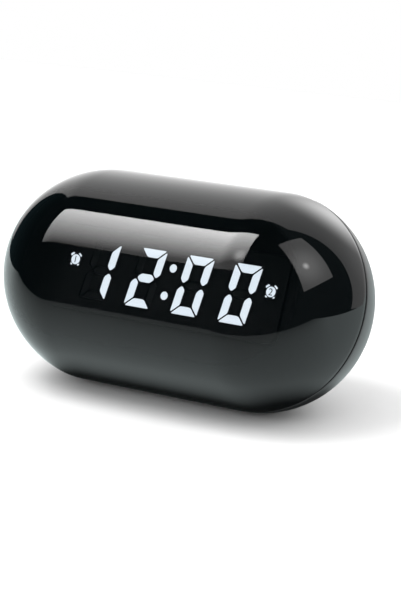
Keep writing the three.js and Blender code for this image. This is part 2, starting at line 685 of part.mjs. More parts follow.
// Boards behind the display
const ledBoardFront = housingBack + GAP;
const boardWide = halfWide + LED_BOARD_MARGIN;
const ledBoard = block(
  -boardWide,
  boardWide,
  ledBoardFront,
  ledBoardFront + BOARD,
  -halfHigh - 0.5,
  halfHigh + 0.5,
);
add(body, 'led_board', solid(ledBoard), boardGreen);
const headerFront = ledBoardFront + BOARD + GAP;
const headerHalf = HEADER_LENGTH / 2;
const header = block(
  -headerHalf,
  headerHalf,
  headerFront,
  MAIN_FRONT - GAP,
  HEADER_Z,
  HEADER_Z + HEADER_WIDTH,
);
add(body, 'board_header', solid(header), chipBlack);
const mainBoard = block(
  -MAIN_WIDTH / 2,
  MAIN_WIDTH / 2,
  MAIN_FRONT,
  MAIN_FRONT + BOARD,
  -MAIN_HEIGHT / 2,
  MAIN_HEIGHT / 2,
);
add(body, 'main_board', solid(mainBoard), boardGreen);
const onBoard = MAIN_FRONT + BOARD + GAP;
// A rectangular part on the back of the main board, centred at x and z
function component(x, z, width, height, thickness) {
  const [halfX, halfZ] = [width / 2, height / 2];
  return solid(block(x - halfX, x + halfX, onBoard, onBoard + thickness, z - halfZ, z + halfZ));
}
add(body, 'controller_chip', component(-18, 10, 14, 14, 2), chipBlack);
add(body, 'tuner_can', component(13, 9, 18, 14, 4.5), bareMetal);
add(body, 'filter_capacitor', solid(rodY(4, 27, -12, onBoard, onBoard + 10)), chipBlack);

// Feet stand upright under the leaning body, and their tops follow the rear shell
const footClearance = pill([
  [0, -FRONT_DEPTH],
  [END_RADIUS + GAP, -FRONT_DEPTH],
  ...domeProfile(REAR_DEPTH, REAR_FLARE, 1, -GAP),
]).applyMatrix4(upright.clone().invert());
const belowFeet = block(-FAR, FAR, -FAR, FAR, -FAR, -underside - GAP);
const restingShell = cut(solid(footClearance), belowFeet);
const feet = [
  ['foot_front_left', -FOOT_X, FOOT_FRONT_Y],
  ['foot_front_right', FOOT_X, FOOT_FRONT_Y],
  ['foot_rear_left', -FOOT_X, FOOT_REAR_Y],
  ['foot_rear_right', FOOT_X, FOOT_REAR_Y],
];
const stance = new THREE.Group();
stance.position.copy(body.position);
clock.add(stance);
for (const [name, x, y] of feet) {
  const post = solid(rodZ(FOOT_RADIUS, x, y, -underside - FOOT_HEIGHT, -underside + WALL * 3));
  add(stance, name, post.subtract(restingShell), footRubber);
}

// The origin is on the table, under the middle of the whole clock
const extent = new THREE.Box3().setFromObject(clock, true);
const middle = (extent.min.y + extent.max.y) / 2;
body.position.y = -middle;
stance.position.y = -middle;

export default clock;
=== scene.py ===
# %% [markdown]
# # A pill-shaped alarm clock
# The clock is a smoked, mirror-bright front dome on a matt black rear shell. The whole body leans
# back on four rubber feet, and white digits glow through the dome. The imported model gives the
# place and size of every piece, and this notebook gives each piece its real surface.

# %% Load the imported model
import json
import math

import bmesh
import bpy
from mathutils import Matrix, Vector
from mathutils.bvhtree import BVHTree

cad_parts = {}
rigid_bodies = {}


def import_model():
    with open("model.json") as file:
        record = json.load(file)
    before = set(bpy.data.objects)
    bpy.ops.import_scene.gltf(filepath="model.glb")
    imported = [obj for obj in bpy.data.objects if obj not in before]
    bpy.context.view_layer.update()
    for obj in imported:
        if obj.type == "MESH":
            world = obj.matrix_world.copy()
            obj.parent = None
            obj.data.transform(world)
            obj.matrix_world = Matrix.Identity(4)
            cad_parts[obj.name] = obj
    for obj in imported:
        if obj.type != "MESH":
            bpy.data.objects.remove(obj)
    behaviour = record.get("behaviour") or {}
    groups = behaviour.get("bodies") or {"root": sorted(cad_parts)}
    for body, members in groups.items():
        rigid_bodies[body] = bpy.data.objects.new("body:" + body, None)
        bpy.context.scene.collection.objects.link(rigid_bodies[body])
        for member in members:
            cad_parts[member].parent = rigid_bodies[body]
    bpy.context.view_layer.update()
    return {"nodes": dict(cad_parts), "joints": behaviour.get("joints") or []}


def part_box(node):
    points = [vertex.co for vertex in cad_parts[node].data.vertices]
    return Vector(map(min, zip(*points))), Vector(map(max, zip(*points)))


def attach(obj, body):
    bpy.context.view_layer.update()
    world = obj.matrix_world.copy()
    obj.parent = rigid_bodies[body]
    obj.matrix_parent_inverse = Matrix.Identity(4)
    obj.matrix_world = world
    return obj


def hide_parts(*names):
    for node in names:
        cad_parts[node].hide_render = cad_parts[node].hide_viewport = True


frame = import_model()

# %% [markdown]
# ## The body's own axes
# The clock leans back, so its pieces are drawn in the body's own axes and turned afterwards:
# X runs along the clock, Y through its depth with the seam at 0 and the front at negative Y, and
# Z across it. The speaker cone travels along the depth, so its joint gives the lean. The drawing
# is in millimetres, and one matrix takes it to the frame's metres.

# %% Find the lean and the middle of the seam
MM = 0.001
BOARD_MIDDLE = 2.0  # from the seam back to the middle of the main board
joints = {joint["name"]: joint for joint in frame["joints"]}
depth_axis = Vector(joints["cone_travel"]["axis"]).normalized()
LEAN = math.atan2(-depth_axis.z, depth_axis.y)
board_low, board_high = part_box("main_board")
seam_middle = (board_low + board_high) / 2 - depth_axis * BOARD_MIDDLE * MM
BODY = Matrix.Translation(seam_middle) @ Matrix.Rotation(-LEAN, 4, "X") @ Matrix.Scale(MM, 4)
UPRIGHT = Matrix.Translation(seam_middle) @ Matrix.Scale(MM, 4)
print("lean", round(math.degrees(LEAN), 2), "seam middle", [round(c, 5) for c in seam_middle])


# %% Measure a node in the body's axes
def body_box(node):
    """Lowest and highest corner of a CAD node in the body's axes, in millimetres."""
    back = BODY.inverted()
    points = [back @ vertex.co for vertex in frame["nodes"][node].data.vertices]
    low = Vector([min(point[i] for point in points) for i in range(3)])
    high = Vector([max(point[i] for point in points) for i in range(3)])
    return low, high


def body_middle(node):
    low, high = body_box(node)
    return (low + high) / 2


DISPLAY_FRONT = -body_box("led_housing")[0].y
print("display face", round(DISPLAY_FRONT, 2), "mm ahead of the seam")

# %% [markdown]
# ## The camera
# A product shot: the camera stands to the right of the front and a little above, and far enough
# away that the long body hardly tapers. A long lens keeps it large. Everything else is judged from
# this view, so it comes first.

# %% Aim the camera
def new_object(name, data, collection=None):
    """An object with no place of its own, linked into the scene or another collection."""
    thing = bpy.data.objects.new(name, data)
    (collection or bpy.context.scene.collection).objects.link(thing)
    return thing


AZIMUTH = math.radians(33.61)
ELEVATION = math.radians(15.15)
DISTANCE = 0.7582
LENS = 131.0
AIM_RIGHT = 0.0057  # the aim is this far right of the body's middle, and this far below it
AIM_DOWN = 0.0045
sight_right = Vector((math.cos(AZIMUTH), math.sin(AZIMUTH), 0))
sight_back = Vector((
    math.sin(AZIMUTH) * math.cos(ELEVATION),
    -math.cos(AZIMUTH) * math.cos(ELEVATION),
    math.sin(ELEVATION),
))
sight_up = sight_back.cross(sight_right)
camera = new_object("camera", bpy.data.cameras.new("camera"))
aim = seam_middle + sight_right * AIM_RIGHT - sight_up * AIM_DOWN
camera.location = aim + sight_back * DISTANCE
camera.rotation_mode = "QUATERNION"
camera.rotation_quaternion = (-sight_back).to_track_quat("-Z", "Y")
camera.data.lens = LENS
camera.data.dof.use_dof = False
bpy.context.scene.camera = camera
bpy.context.scene.view_settings.view_transform = "Standard"
print("camera at", [round(c, 3) for c in camera.location])

# %% [markdown]
# ## Node trees written as sums
# A shader is easier to read as a sum than as a list of links. A Wire holds one socket, and adding,
# taking away or multiplying wires adds the Math nodes. A Graph adds every other node by one
# method: first the node's settings, then the values or wires of its sockets.


# %% Wires and graphs
class Wire:
    """An output socket that can stand in a sum."""

    def __init__(self, graph, socket):
        self.graph = graph
        self.socket = socket

    def __add__(self, other):
        return self.graph.math("ADD", self, other)

    def __sub__(self, other):
        return self.graph.math("SUBTRACT", self, other)

    def __mul__(self, other):
        return self.graph.math("MULTIPLY", self, other)

    def __rsub__(self, other):
        return self.graph.math("SUBTRACT", other, self)

    __radd__ = __add__
    __rmul__ = __mul__


class Graph:
    """A tree of nodes, for a material or for a shape."""

    def __init__(self, tree):
        self.tree = tree

    def node(self, kind, settings=None, sockets=None, output=0):
        """Adds a node and returns a Wire on its output."""
        made = self.tree.nodes.new(kind)
        for setting, value in (settings or {}).items():
            if setting == "stops":
                self.set_stops(made.color_ramp, value)
            else:
                setattr(made, setting, value)
        for name, value in (sockets or {}).items():
            if isinstance(value, Wire):
                self.tree.links.new(value.socket, made.inputs[name])
            else:
                made.inputs[name].default_value = value
        return Wire(self, made.outputs[output]) if made.outputs else None

    def set_stops(self, ramp, stops):
        while len(ramp.elements) < len(stops):
            ramp.elements.new(1)
        for element, (position, colour) in zip(ramp.elements, stops):
            element.position = position
            element.color = (*colour, 1)

    def math(self, operation, *values):
        return self.node("ShaderNodeMath", {"operation": operation}, dict(enumerate(values)))

    def blend(self, share, first, second):
        """A colour between two others, which are colours or wires."""
        ends = [value if isinstance(value, Wire) else (*value, 1) for value in (first, second)]
        sockets = {0: share, 6: ends[0], 7: ends[1]}
        return self.node("ShaderNodeMix", {"data_type": "RGBA"}, sockets, output=2)


# %% [markdown]
# ## What every finish shares
# Moulded plastic, rubber and metal are never one flat colour: the mould leaves a grain, and
# handling leaves faint smudges. Each finish below starts from the same three parts: a place on
# the piece, a noise read at that place, and a bump made of the noise.


# %% Parts that the finishes share
class Finish(Graph):
    """A material, painted by its nodes."""

    def __init__(self, name):
        self.material = bpy.data.materials.new(name)
        self.material.use_nodes = True
        super().__init__(self.material.node_tree)
        self.tree.nodes.clear()
        self.place = self.node("ShaderNodeTexCoord", output="Object")

    def noise(self, size, detail=2.0, stretch=(1, 1, 1)):
        """Noise from 0 to 1 whose spots are about size metres across."""
        place = self.node("ShaderNodeMapping", sockets={"Vector": self.place, "Scale": stretch})
        sockets = {"Vector": place, "Scale": 1 / size, "Detail": detail}
        return self.node("ShaderNodeTexNoise", sockets=sockets)

    def bump(self, height, depth, strength=1.0):
        """A normal that follows a height, depth metres from its lowest to its highest."""
        sockets = {"Height": height, "Distance": depth, "Strength": strength}
        return self.node("ShaderNodeBump", sockets=sockets)

    def plastic(self, colour, roughness, normal=None, **more):
        sockets = {"Base Color": colour, "Roughness": roughness, **more}
        if normal:
            sockets["Normal"] = normal
        return self.node("ShaderNodeBsdfPrincipled", sockets=sockets)

    def reach(self, along, across, left, right):
        """Distance from a line that runs between two places along an axis."""
        past_end = self.math("MAXIMUM", along - right, left - along)
        past_end = self.math("MAXIMUM", past_end, 0.0)
        return self.math("SQRT", past_end * past_end + across * across)

    def done(self, shader):
        self.node("ShaderNodeOutputMaterial", sockets={"Surface": shader})
        return self.material


# %% [markdown]
# ## The finishes
# The rear shell and the keys are moulded black plastic with a fine spark-eroded grain. The dome
# is clear plastic dyed dark, with black paint inside that leaves a window for the display. Light
# that strikes it at a low angle is mirrored, and the rest goes through the window or is lost in
# the paint, so a Fresnel node mixes a mirror with what lies behind. Only the wall's outer side
# mirrors, because the two sides of the wall would otherwise mirror twice.

# %% Smoked dome
DOME_TINT = (0.42, 0.43, 0.44)
SPINE = 33.5  # from the middle to the centre of each round end
WINDOW_REACH = 0.0265  # of the clear window, from the line between the centres of the round ends
WINDOW_EDGE = 0.0015  # over which the paint fades out
PAINT_BLACK = (0.0022, 0.0026, 0.0028)


def smoked_plastic():
    finish = Finish("smoked_plastic")
    upright = finish.node(
        "ShaderNodeVectorRotate",
        {"rotation_type": "X_AXIS"},
        {"Vector": finish.place, "Center": tuple(seam_middle), "Angle": LEAN},
    )
    from_middle = finish.node(
        "ShaderNodeVectorMath", {"operation": "SUBTRACT"}, {0: upright, 1: tuple(seam_middle)}
    )
    x = finish.node("ShaderNodeSeparateXYZ", sockets={0: from_middle}, output="X")
    z = finish.node("ShaderNodeSeparateXYZ", sockets={0: from_middle}, output="Z")
    reach = finish.reach(x, z, -SPINE * MM, SPINE * MM)
    sockets = {
        "Value": reach, "From Min": WINDOW_REACH - WINDOW_EDGE, "From Max": WINDOW_REACH
    }
    paint = finish.node("ShaderNodeMapRange", sockets=sockets)
    black = finish.node("ShaderNodeBsdfDiffuse", sockets={"Color": (*PAINT_BLACK, 1)})
    tint = finish.node("ShaderNodeBsdfTransparent", sockets={"Color": (*DOME_TINT, 1)})
    behind = finish.node("ShaderNodeMixShader", sockets={0: paint, 1: tint, 2: black})
    smudge = finish.noise(0.018, detail=4)
    gloss = 0.012 + 0.02 * smudge
    wave = finish.bump(finish.noise(0.03, detail=0), 0.00002)
    fresnel = finish.node("ShaderNodeFresnel", sockets={"IOR": 1.5, "Normal": wave})
    sockets = {"Color": (1, 1, 1, 1), "Roughness": gloss, "Normal": wave}
    mirror = finish.node("ShaderNodeBsdfGlossy", sockets=sockets)
    outside = finish.node("ShaderNodeMixShader", sockets={0: fresnel, 1: behind, 2: mirror})
    clear = finish.node("ShaderNodeBsdfTransparent", sockets={"Color": (1, 1, 1, 1)})
    inside = finish.node("ShaderNodeMixShader", sockets={0: paint, 1: clear, 2: black})
    facing = finish.node("ShaderNodeNewGeometry", output="Backfacing")
    return finish.done(
        finish.node("ShaderNodeMixShader", sockets={0: facing, 1: outside, 2: inside})
    )


# %% Moulded black plastics
def moulded(name, dark, pale, roughness, grain=0.00035, depth=0.00001, handling=0.12):
    """Black plastic with a mould grain, and a sheen that changes where it has been handled."""
    finish = Finish(name)
    grains = finish.noise(grain, detail=3)
    handled = finish.noise(0.02, detail=3)
    colour = finish.blend(grains, dark, pale)
    gloss = roughness - handling / 2 + handling * handled
    shader = finish.plastic(colour, gloss, finish.bump(grains, depth))
    return finish.done(shader)


DOME = smoked_plastic()
CASE = moulded("case_black", (0.017, 0.0175, 0.018), (0.026, 0.0265, 0.027), 0.33)
KEY = moulded("key_black", (0.014, 0.0145, 0.015), (0.022, 0.0225, 0.023), 0.5, grain=0.0005)
HOUSING = moulded("housing_black", (0.004, 0.0038, 0.0042), (0.006, 0.0058, 0.0062), 0.85, 0.0006)
FRAME = moulded("frame_black", (0.0035, 0.0035, 0.0038), (0.005, 0.005, 0.0053), 0.85, 0.0006)
SWITCH = moulded("switch_black", (0.02, 0.02, 0.021), (0.03, 0.03, 0.031), 0.4, 0.0008)
CHIP = moulded("component_black", (0.015, 0.015, 0.016), (0.025, 0.025, 0.026), 0.45, 0.0003)
RUBBER = moulded("foot_rubber", (0.012, 0.012, 0.012), (0.022, 0.021, 0.02), 0.8, 0.0002, 0.00002)
MARK = moulded("mark_paint", (0.42, 0.43, 0.44), (0.5, 0.51, 0.52), 0.5, 0.0003)


# %% [markdown]
# The metal pieces are turned or stamped steel, brushed along one direction, so their noise is
# stretched. The circuit boards have a green lacquer over copper tracks: a wave pattern stands for
# the tracks. The speaker's paper cone has long fibres.

# %% Metal, board, paper and diffuser
def steel():
    finish = Finish("plated_steel")
    brushing = finish.noise(0.0006, detail=4, stretch=(1, 1, 9))
    colour = finish.blend(brushing, (0.42, 0.43, 0.44), (0.62, 0.62, 0.61))
    gloss = 0.24 + 0.16 * brushing
    shader = finish.plastic(colour, gloss, finish.bump(brushing, 0.000006), Metallic=1.0)
    return finish.done(shader)


def board_lacquer():
    finish = Finish("board_lacquer")
    settings = {"wave_type": "BANDS", "bands_direction": "X"}
    sockets = {"Vector": finish.place, "Scale": 160.0, "Distortion": 5.0, "Detail": 1.0}
    tracks = finish.node("ShaderNodeTexWave", settings, sockets, output="Fac")
    edge = {"stops": [(0.42, (0, 0, 0)), (0.5, (1, 1, 1))]}
    raised = finish.node("ShaderNodeValToRGB", edge, {"Fac": tracks})
    colour = finish.blend(raised, (0.008, 0.05, 0.022), (0.014, 0.1, 0.045))
    shader = finish.plastic(colour, 0.3 + 0.2 * finish.noise(0.004), finish.bump(raised, 0.00002))
    return finish.done(shader)


def cone_paper():
    finish = Finish("cone_paper")
    fibres = finish.noise(0.0009, detail=6, stretch=(1, 1, 3))
    colour = finish.blend(fibres, (0.012, 0.011, 0.01), (0.035, 0.032, 0.029))
    return finish.done(finish.plastic(colour, 0.9, finish.bump(fibres, 0.00005)))


def smoky_diffuser():
    finish = Finish("smoky_diffuser")
    cloud = finish.noise(0.002, detail=3)
    colour = finish.blend(cloud, (0.004, 0.0038, 0.0042), (0.006, 0.0056, 0.0062))
    return finish.done(finish.plastic(colour, 0.5 + 0.2 * cloud, finish.bump(cloud, 0.00001)))


STEEL = steel()
LACQUER = board_lacquer()
PAPER = cone_paper()
DIFFUSER = smoky_diffuser()

# %% [markdown]
# A lit segment glows evenly across its whole face. The glow is cold white. Its colour changes a
# little from place to place, as the light of separate diodes does behind one diffuser.


# %% Glow of the digits
def cold_glow(name, strength):
    finish = Finish(name)
    diodes = finish.noise(0.006, detail=1)
    glow = finish.blend(diodes, (0.80, 0.90, 1.0), (0.88, 0.95, 1.0))
    shader = finish.plastic((0.5, 0.5, 0.5, 1), 0.6, **{"Emission Color": glow})
    shader.socket.node.inputs["Emission Strength"].default_value = strength
    return finish.done(shader)


GLOW = cold_glow("segment_glow", 1.9)
ICON_GLOW = cold_glow("icon_glow", 2.0)
print("finishes:", len(bpy.data.materials))

# %% [markdown]
# ## One helper for every pill
# The dome, the rear shell, the keys, the snooze bar and the feet are all the same idea: an outline
# made of two half circles and two straight runs, drawn again and again at other sizes and heights,
# and joined into a skin. The helper takes rows of (radius, height). A row of radius 0 closes the
# skin on the line between the two half circles. A spine of 0 makes a plain round piece.


# %% Rows of outlines become a closed skin
ROUND_STEPS = 48  # in each half circle
STRAIGHT_STEPS = 12


def stadium(radius, spine, steps=ROUND_STEPS):
    """Points of the outline: the right half circle, the top run, the left one, the bottom run."""
    points = []
    for side, start in ((1, -math.pi / 2), (-1, math.pi / 2)):
        for i in range(steps + 1):
            turn = start + math.pi * i / steps
            points.append((side * spine + radius * math.cos(turn), radius * math.sin(turn)))
        for i in range(1, STRAIGHT_STEPS):
            points.append((side * spine * (1 - 2 * i / STRAIGHT_STEPS), side * radius))
    return points


def outward(mesh):
    """Turns a closed mesh the right way round, whatever way it was drawn."""
    bmesh.ops.remove_doubles(mesh, verts=mesh.verts, dist=1e-4)
    bmesh.ops.recalc_face_normals(mesh, faces=mesh.faces)
    if mesh.calc_volume(signed=True) < 0:
        bmesh.ops.reverse_faces(mesh, faces=mesh.faces)
    return mesh


def moved(mesh, place):
    bmesh.ops.transform(mesh, matrix=place, verts=mesh.verts)
    return mesh


def loft(rows, spine=0.0, steps=ROUND_STEPS):
    """A closed skin through rows of (radius, height), in millimetres, about local Z."""
    mesh = bmesh.new()
    rings = [
        [mesh.verts.new((x, y, height)) for x, y in stadium(radius, spine, steps)]
        for radius, height in rows
    ]
    for near, far in zip(rings, rings[1:]):
        for i in range(len(near)):
            after = (i + 1) % len(near)
            mesh.faces.new((near[i], near[after], far[after], far[i]))
    return outward(mesh)


def fillet(radius, height, size, start, end, steps=5):
    """Rows of a rounded corner about (radius, height), from one angle to another, in degrees."""
    rows = []
    for i in range(steps + 1):
        turn = math.radians(start + (end - start) * i / steps)
        rows.append((radius + size * math.cos(turn), height + size * math.sin(turn)))
    return rows


# %% [markdown]
# A finished skin becomes a piece of the clock: it is taken to the frame's metres with its place in
# the mesh, shaded smooth except at real edges, given its finish, and made to ride on its body.


# %% From a skin to a piece
SMOOTH_BELOW = math.radians(32)


def finish_piece(thing, material, body="root", replaces=()):
    if material:
        thing.data.materials.clear()
        thing.data.materials.append(material)
    thing.data.polygons.foreach_set("use_smooth", [True] * len(thing.data.polygons))
    thing.data.set_sharp_from_angle(angle=SMOOTH_BELOW)
    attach(thing, body)
    if replaces:
        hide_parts(*replaces)
    print(thing.name, "faces:", len(thing.data.polygons), "rides on", body)
    return thing


def make_piece(name, mesh, place, material, body="root", replaces=()):
    """A named piece of the clock from a mesh in millimetres."""
    data = bpy.data.meshes.new(name)
    moved(mesh, place).to_mesh(data)
    mesh.free()
    return finish_piece(new_object(name, data), material, body, replaces)


# %% [markdown]
# ## The smoked dome
# Seen from the side the dome is part of an ellipse whose middle lies behind the seam, so the wall
# still leans inwards a little where it meets the seam. The wall is one skin, outside and inside,
# with a small round at the rim and the lip that locates it in the rear shell. The underside has a
# flat cut, where it stands a millimetre above the table.

# %% Sizes of the two shells
END_RADIUS = 38.0
FRONT_DEPTH, FRONT_FLARE = 36.0, 5.6
REAR_DEPTH, REAR_FLARE = 34.0, 1.6
WALL = 2.4
SEAM_HALF = 0.3  # half of the shadow line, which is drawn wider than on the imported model
RIM_ROUND = 0.3
TONGUE = 2.4  # the dome's lip reaches this far into the rear shell
LIP_OUTER = END_RADIUS - WALL + 1.15
LIP_INNER = END_RADIUS - WALL
GAP = 0.3
FLAT_HEIGHT = 0.001  # metres, from the table up to the flat on the underside
BACKWARD = Matrix.Rotation(-math.pi / 2, 4, "X")  # local Z runs along the body's depth


def dome_rows(depth, flare, inset, start, steps=44):
    """Rows of an elliptical dome from start, behind or ahead of the seam, to its tip."""
    tip = depth - inset + flare
    width = (END_RADIUS - inset) / math.sqrt(1 - (flare / tip) ** 2)
    first = math.asin((start + flare) / tip)
    rows = []
    for i in range(steps + 1):
        turn = first + (math.pi / 2 - first) * i / steps
        rows.append((width * math.cos(turn) if i < steps else 0.0, tip * math.sin(turn) - flare))
    return rows


def shell_rows(depth, flare, lip):
    """The whole wall of a shell: outside from its tip to the rim, then its lip and its inside."""
    outside = dome_rows(depth, flare, 0.0, SEAM_HALF + RIM_ROUND)
    rim_radius = outside[0][0] - RIM_ROUND
    rounded = fillet(rim_radius, SEAM_HALF + RIM_ROUND, RIM_ROUND, 0, -90)
    inside = dome_rows(depth, flare, WALL, max(lip[-1][1], 0.0))
    return outside[::-1] + rounded[1:] + lip + inside


def cut_flat(mesh):
    """Lifts what hangs below the flat of the underside up to it."""
    lift = (BODY @ BACKWARD).inverted()
    for vertex in mesh.verts:
        point = BODY @ BACKWARD @ vertex.co
        if point.z < FLAT_HEIGHT:
            point.z = FLAT_HEIGHT
            vertex.co = lift @ point
    return mesh


def mirrored(rows):
    return [(radius, -height) for radius, height in rows]


# %% Make the dome
dome_lip = [(LIP_OUTER, SEAM_HALF), (LIP_OUTER, -TONGUE), (LIP_INNER, -TONGUE)]
dome_skin = cut_flat(loft(mirrored(shell_rows(FRONT_DEPTH, FRONT_FLARE, dome_lip)), SPINE))
dome = make_piece(
    "smoked_front_dome", dome_skin, BODY @ BACKWARD, DOME, replaces=["front_shell"]
)

# %% [markdown]
# ## Places on the rear shell
# The snooze bar, the keys and the battery cap each sit square to the shell. Their joints say which
# way they travel, and that direction is also the way out of the shell, so each place follows from
# the frame: where on the ellipse does the surface face that way?

# %% Places on the rear shell
REAR_TIP = REAR_DEPTH + REAR_FLARE
REAR_WIDTH = END_RADIUS / math.sqrt(1 - (REAR_FLARE / REAR_TIP) ** 2)
TO_BODY = BODY.to_3x3().inverted()


def place_on_shell(joint, node):
    """Matrix of a place on the rear shell: local Z points straight out, local X along the clock."""
    way_out = -(TO_BODY @ Vector(joints[joint]["axis"])).normalized()
    if way_out.y < 0:
        way_out = -way_out
    latitude = math.atan2(way_out.y * REAR_TIP, abs(way_out.z) * REAR_WIDTH)
    side = math.copysign(1, way_out.z)
    spot = Vector((
        body_middle(node).x,
        REAR_TIP * math.sin(latitude) - REAR_FLARE,
        side * REAR_WIDTH * math.cos(latitude),
    ))
    along = Vector((1, 0, 0))
    across = way_out.cross(along)
    turn = Matrix((along, across, way_out)).transposed().to_4x4()
    stretch = (REAR_TIP * math.cos(latitude)) ** 2 + (REAR_WIDTH * math.sin(latitude)) ** 2
    bend = stretch**1.5 / (REAR_TIP * REAR_WIDTH)
    return Matrix.Translation(spot) @ turn, bend


KEY_NAMES = ["alarm_1", "minus", "time", "plus", "alarm_2"]
key_places = {name: place_on_shell(f"{name}_press", f"{name}_key") for name in KEY_NAMES}
snooze_place, snooze_bend = place_on_shell("snooze_press", "snooze_bar")
cap_place = place_on_shell("battery_cap_turn", "battery_cap")[0]
print("radius of the shell's curve at the keys:", round(key_places["time"][1], 1), "mm")

# %% [markdown]
# ## The rear shell
# The shell starts as the same skin as the dome. Then it is machined: bosses for the screws, a ring
# for the speaker and the cup for the coin cell are joined to it, and the wells, key holes, grille
# slots and sockets are cut out. Booleans are the way here, because each opening has walls as deep
# as the plastic, and those walls are seen from behind.

# %% Sizes of what is cut and joined
SNOOZE_LENGTH, SNOOZE_WIDTH = 56.0, 13.0
KEY_RADIUS = 3.75
KEY_GAP = 0.35
FLANGE_TOP = -WALL - 1.0
FAR = 60.0
screws = [f"case_screw_{i}" for i in (1, 2, 3, 4)]
screw_spots = [body_middle(screw) for screw in screws]
HEAD_HEIGHT, HEAD_RADIUS, SHAFT_RADIUS, SCREW_LENGTH = 1.8, 2.6, 1.2, 12.0
BOSS_RADIUS, WELL_RADIUS, SCREW_HOLE = 4.6, 3.2, 1.5
HEAD_SEAT = body_box(screws[0])[1].y - HEAD_HEIGHT - GAP
BOSS_FRONT = HEAD_SEAT - 3.0
speaker_x = body_middle("speaker_basket").x
SPEAKER_RADIUS = 18.0
SPEAKER_FACE = body_box("speaker_basket")[1].y
GRILLE_RADIUS, GRILLE_SLOT, GRILLE_PITCH = 13.0, 1.8, 4.0
CAP_RADIUS, CAP_SINK, CAP_THICKNESS, LUG = 12.0, 2.3, 1.6, 1.2
CAP_BOTTOM = -CAP_SINK - CAP_THICKNESS
LUG_THICKNESS = 0.7
LUG_HALF = 2.0
CELL_RADIUS, CELL_THICKNESS, CONTACT_THICKNESS = 10.0, 3.2, 0.4
CUP_WALL = 1.5
CUP_RADIUS = CAP_RADIUS + LUG + 2 * GAP + CUP_WALL
CUP_FLOOR = CAP_BOTTOM - GAP - CELL_THICKNESS - GAP - CONTACT_THICKNESS - GAP
CAP_TURN = math.radians(40)
inlet_x = body_middle("inlet_pin").x
INLET_COLLAR = 4.4
INLET_FACE = body_box("power_inlet")[1].y
COLLAR_SEAT = INLET_FACE - WALL - 2
dimmer_low, dimmer_high = body_box("dimmer_knob")
DIMMER_TRAVEL = joints["dimmer_slide"]["range_m"][1] / MM
CASE_FRONT = body_box("dimmer_case")[1].y
print("screw seats", round(HEAD_SEAT, 2), "speaker face", round(SPEAKER_FACE, 2))


# %% Solids to cut and join with
def rod(radius, low, high, place, spine=0.0, steps=24):
    """A round or slot-shaped rod along local Z."""
    rows = [(0.0, low), (radius, low), (radius, high), (0.0, high)]
    return moved(loft(rows, spine, steps), place)


def brick(low, high, place=Matrix()):
    """A rectangular block between two corners."""
    mesh = bmesh.new()
    bmesh.ops.create_cube(mesh, size=1)
    for vertex in mesh.verts:
        vertex.co = [a + (b - a) * (c + 0.5) for a, b, c in zip(low, high, vertex.co)]
    return moved(mesh, place)


def along_depth(x, z):
    return Matrix.Translation((x, 0, z)) @ BACKWARD


def scratch(mesh, collection=None):
    """A mesh put into a passing object, for the modifiers to work on."""
    data = bpy.data.meshes.new("scratch")
    mesh.to_mesh(data)
    mesh.free()
    return new_object("scratch", data, collection)


def machine(mesh, solids, operation):
    """Joins or cuts solids, and gives the new mesh."""
    tools = bpy.data.collections.new("tools")
    bpy.context.scene.collection.children.link(tools)
    blank = scratch(mesh)
    for solid in solids:
        scratch(solid, tools)
    modifier = blank.modifiers.new("cut", "BOOLEAN")
    modifier.operand_type = "COLLECTION"
    modifier.collection = tools
    modifier.operation = operation
    modifier.solver = "EXACT"
    depsgraph = bpy.context.evaluated_depsgraph_get()
    result = bmesh.new()
    result.from_object(blank, depsgraph)
    for thing in [*tools.objects, blank]:
        bpy.data.objects.remove(thing)
    bpy.data.collections.remove(tools)
    return result


# %% Join the fittings inside the shell
def inner_solid():
    """What the inside of the wall holds: fittings are trimmed to it."""
    rows = dome_rows(REAR_DEPTH, REAR_FLARE, WALL / 2, 0.0)
    return moved(loft([(0.0, 0.0), *rows], SPINE), BACKWARD)


def tube(outer, inner, low, high, place):
    rows = [(inner, low), (outer, low), (outer, high), (inner, high), (inner, low)]
    return moved(loft(rows, steps=32), place)


rear_lip = [(LIP_OUTER + GAP, SEAM_HALF), (LIP_OUTER + GAP, TONGUE + GAP)]
rear_skin = cut_flat(loft(shell_rows(REAR_DEPTH, REAR_FLARE, rear_lip), SPINE))
rear_skin = moved(rear_skin, BACKWARD)
fittings = [rod(BOSS_RADIUS, BOSS_FRONT, REAR_DEPTH, along_depth(s.x, s.z)) for s in screw_spots]
fittings.append(rod(CUP_RADIUS, CUP_FLOOR - CUP_WALL, 0.0, cap_place, steps=36))
fittings.append(tube(
    SPEAKER_RADIUS, SPEAKER_RADIUS - 2, SPEAKER_FACE + GAP, REAR_DEPTH, along_depth(speaker_x, 0)
))
trimmed = [machine(solid, [inner_solid()], "INTERSECT") for solid in fittings]
rear_skin = machine(rear_skin, trimmed, "UNION")
print("rear shell with its fittings:", len(rear_skin.faces), "faces")


# %% Cut the openings
def turned_about(place, angle):
    return place @ Matrix.Rotation(angle, 4, "Z")


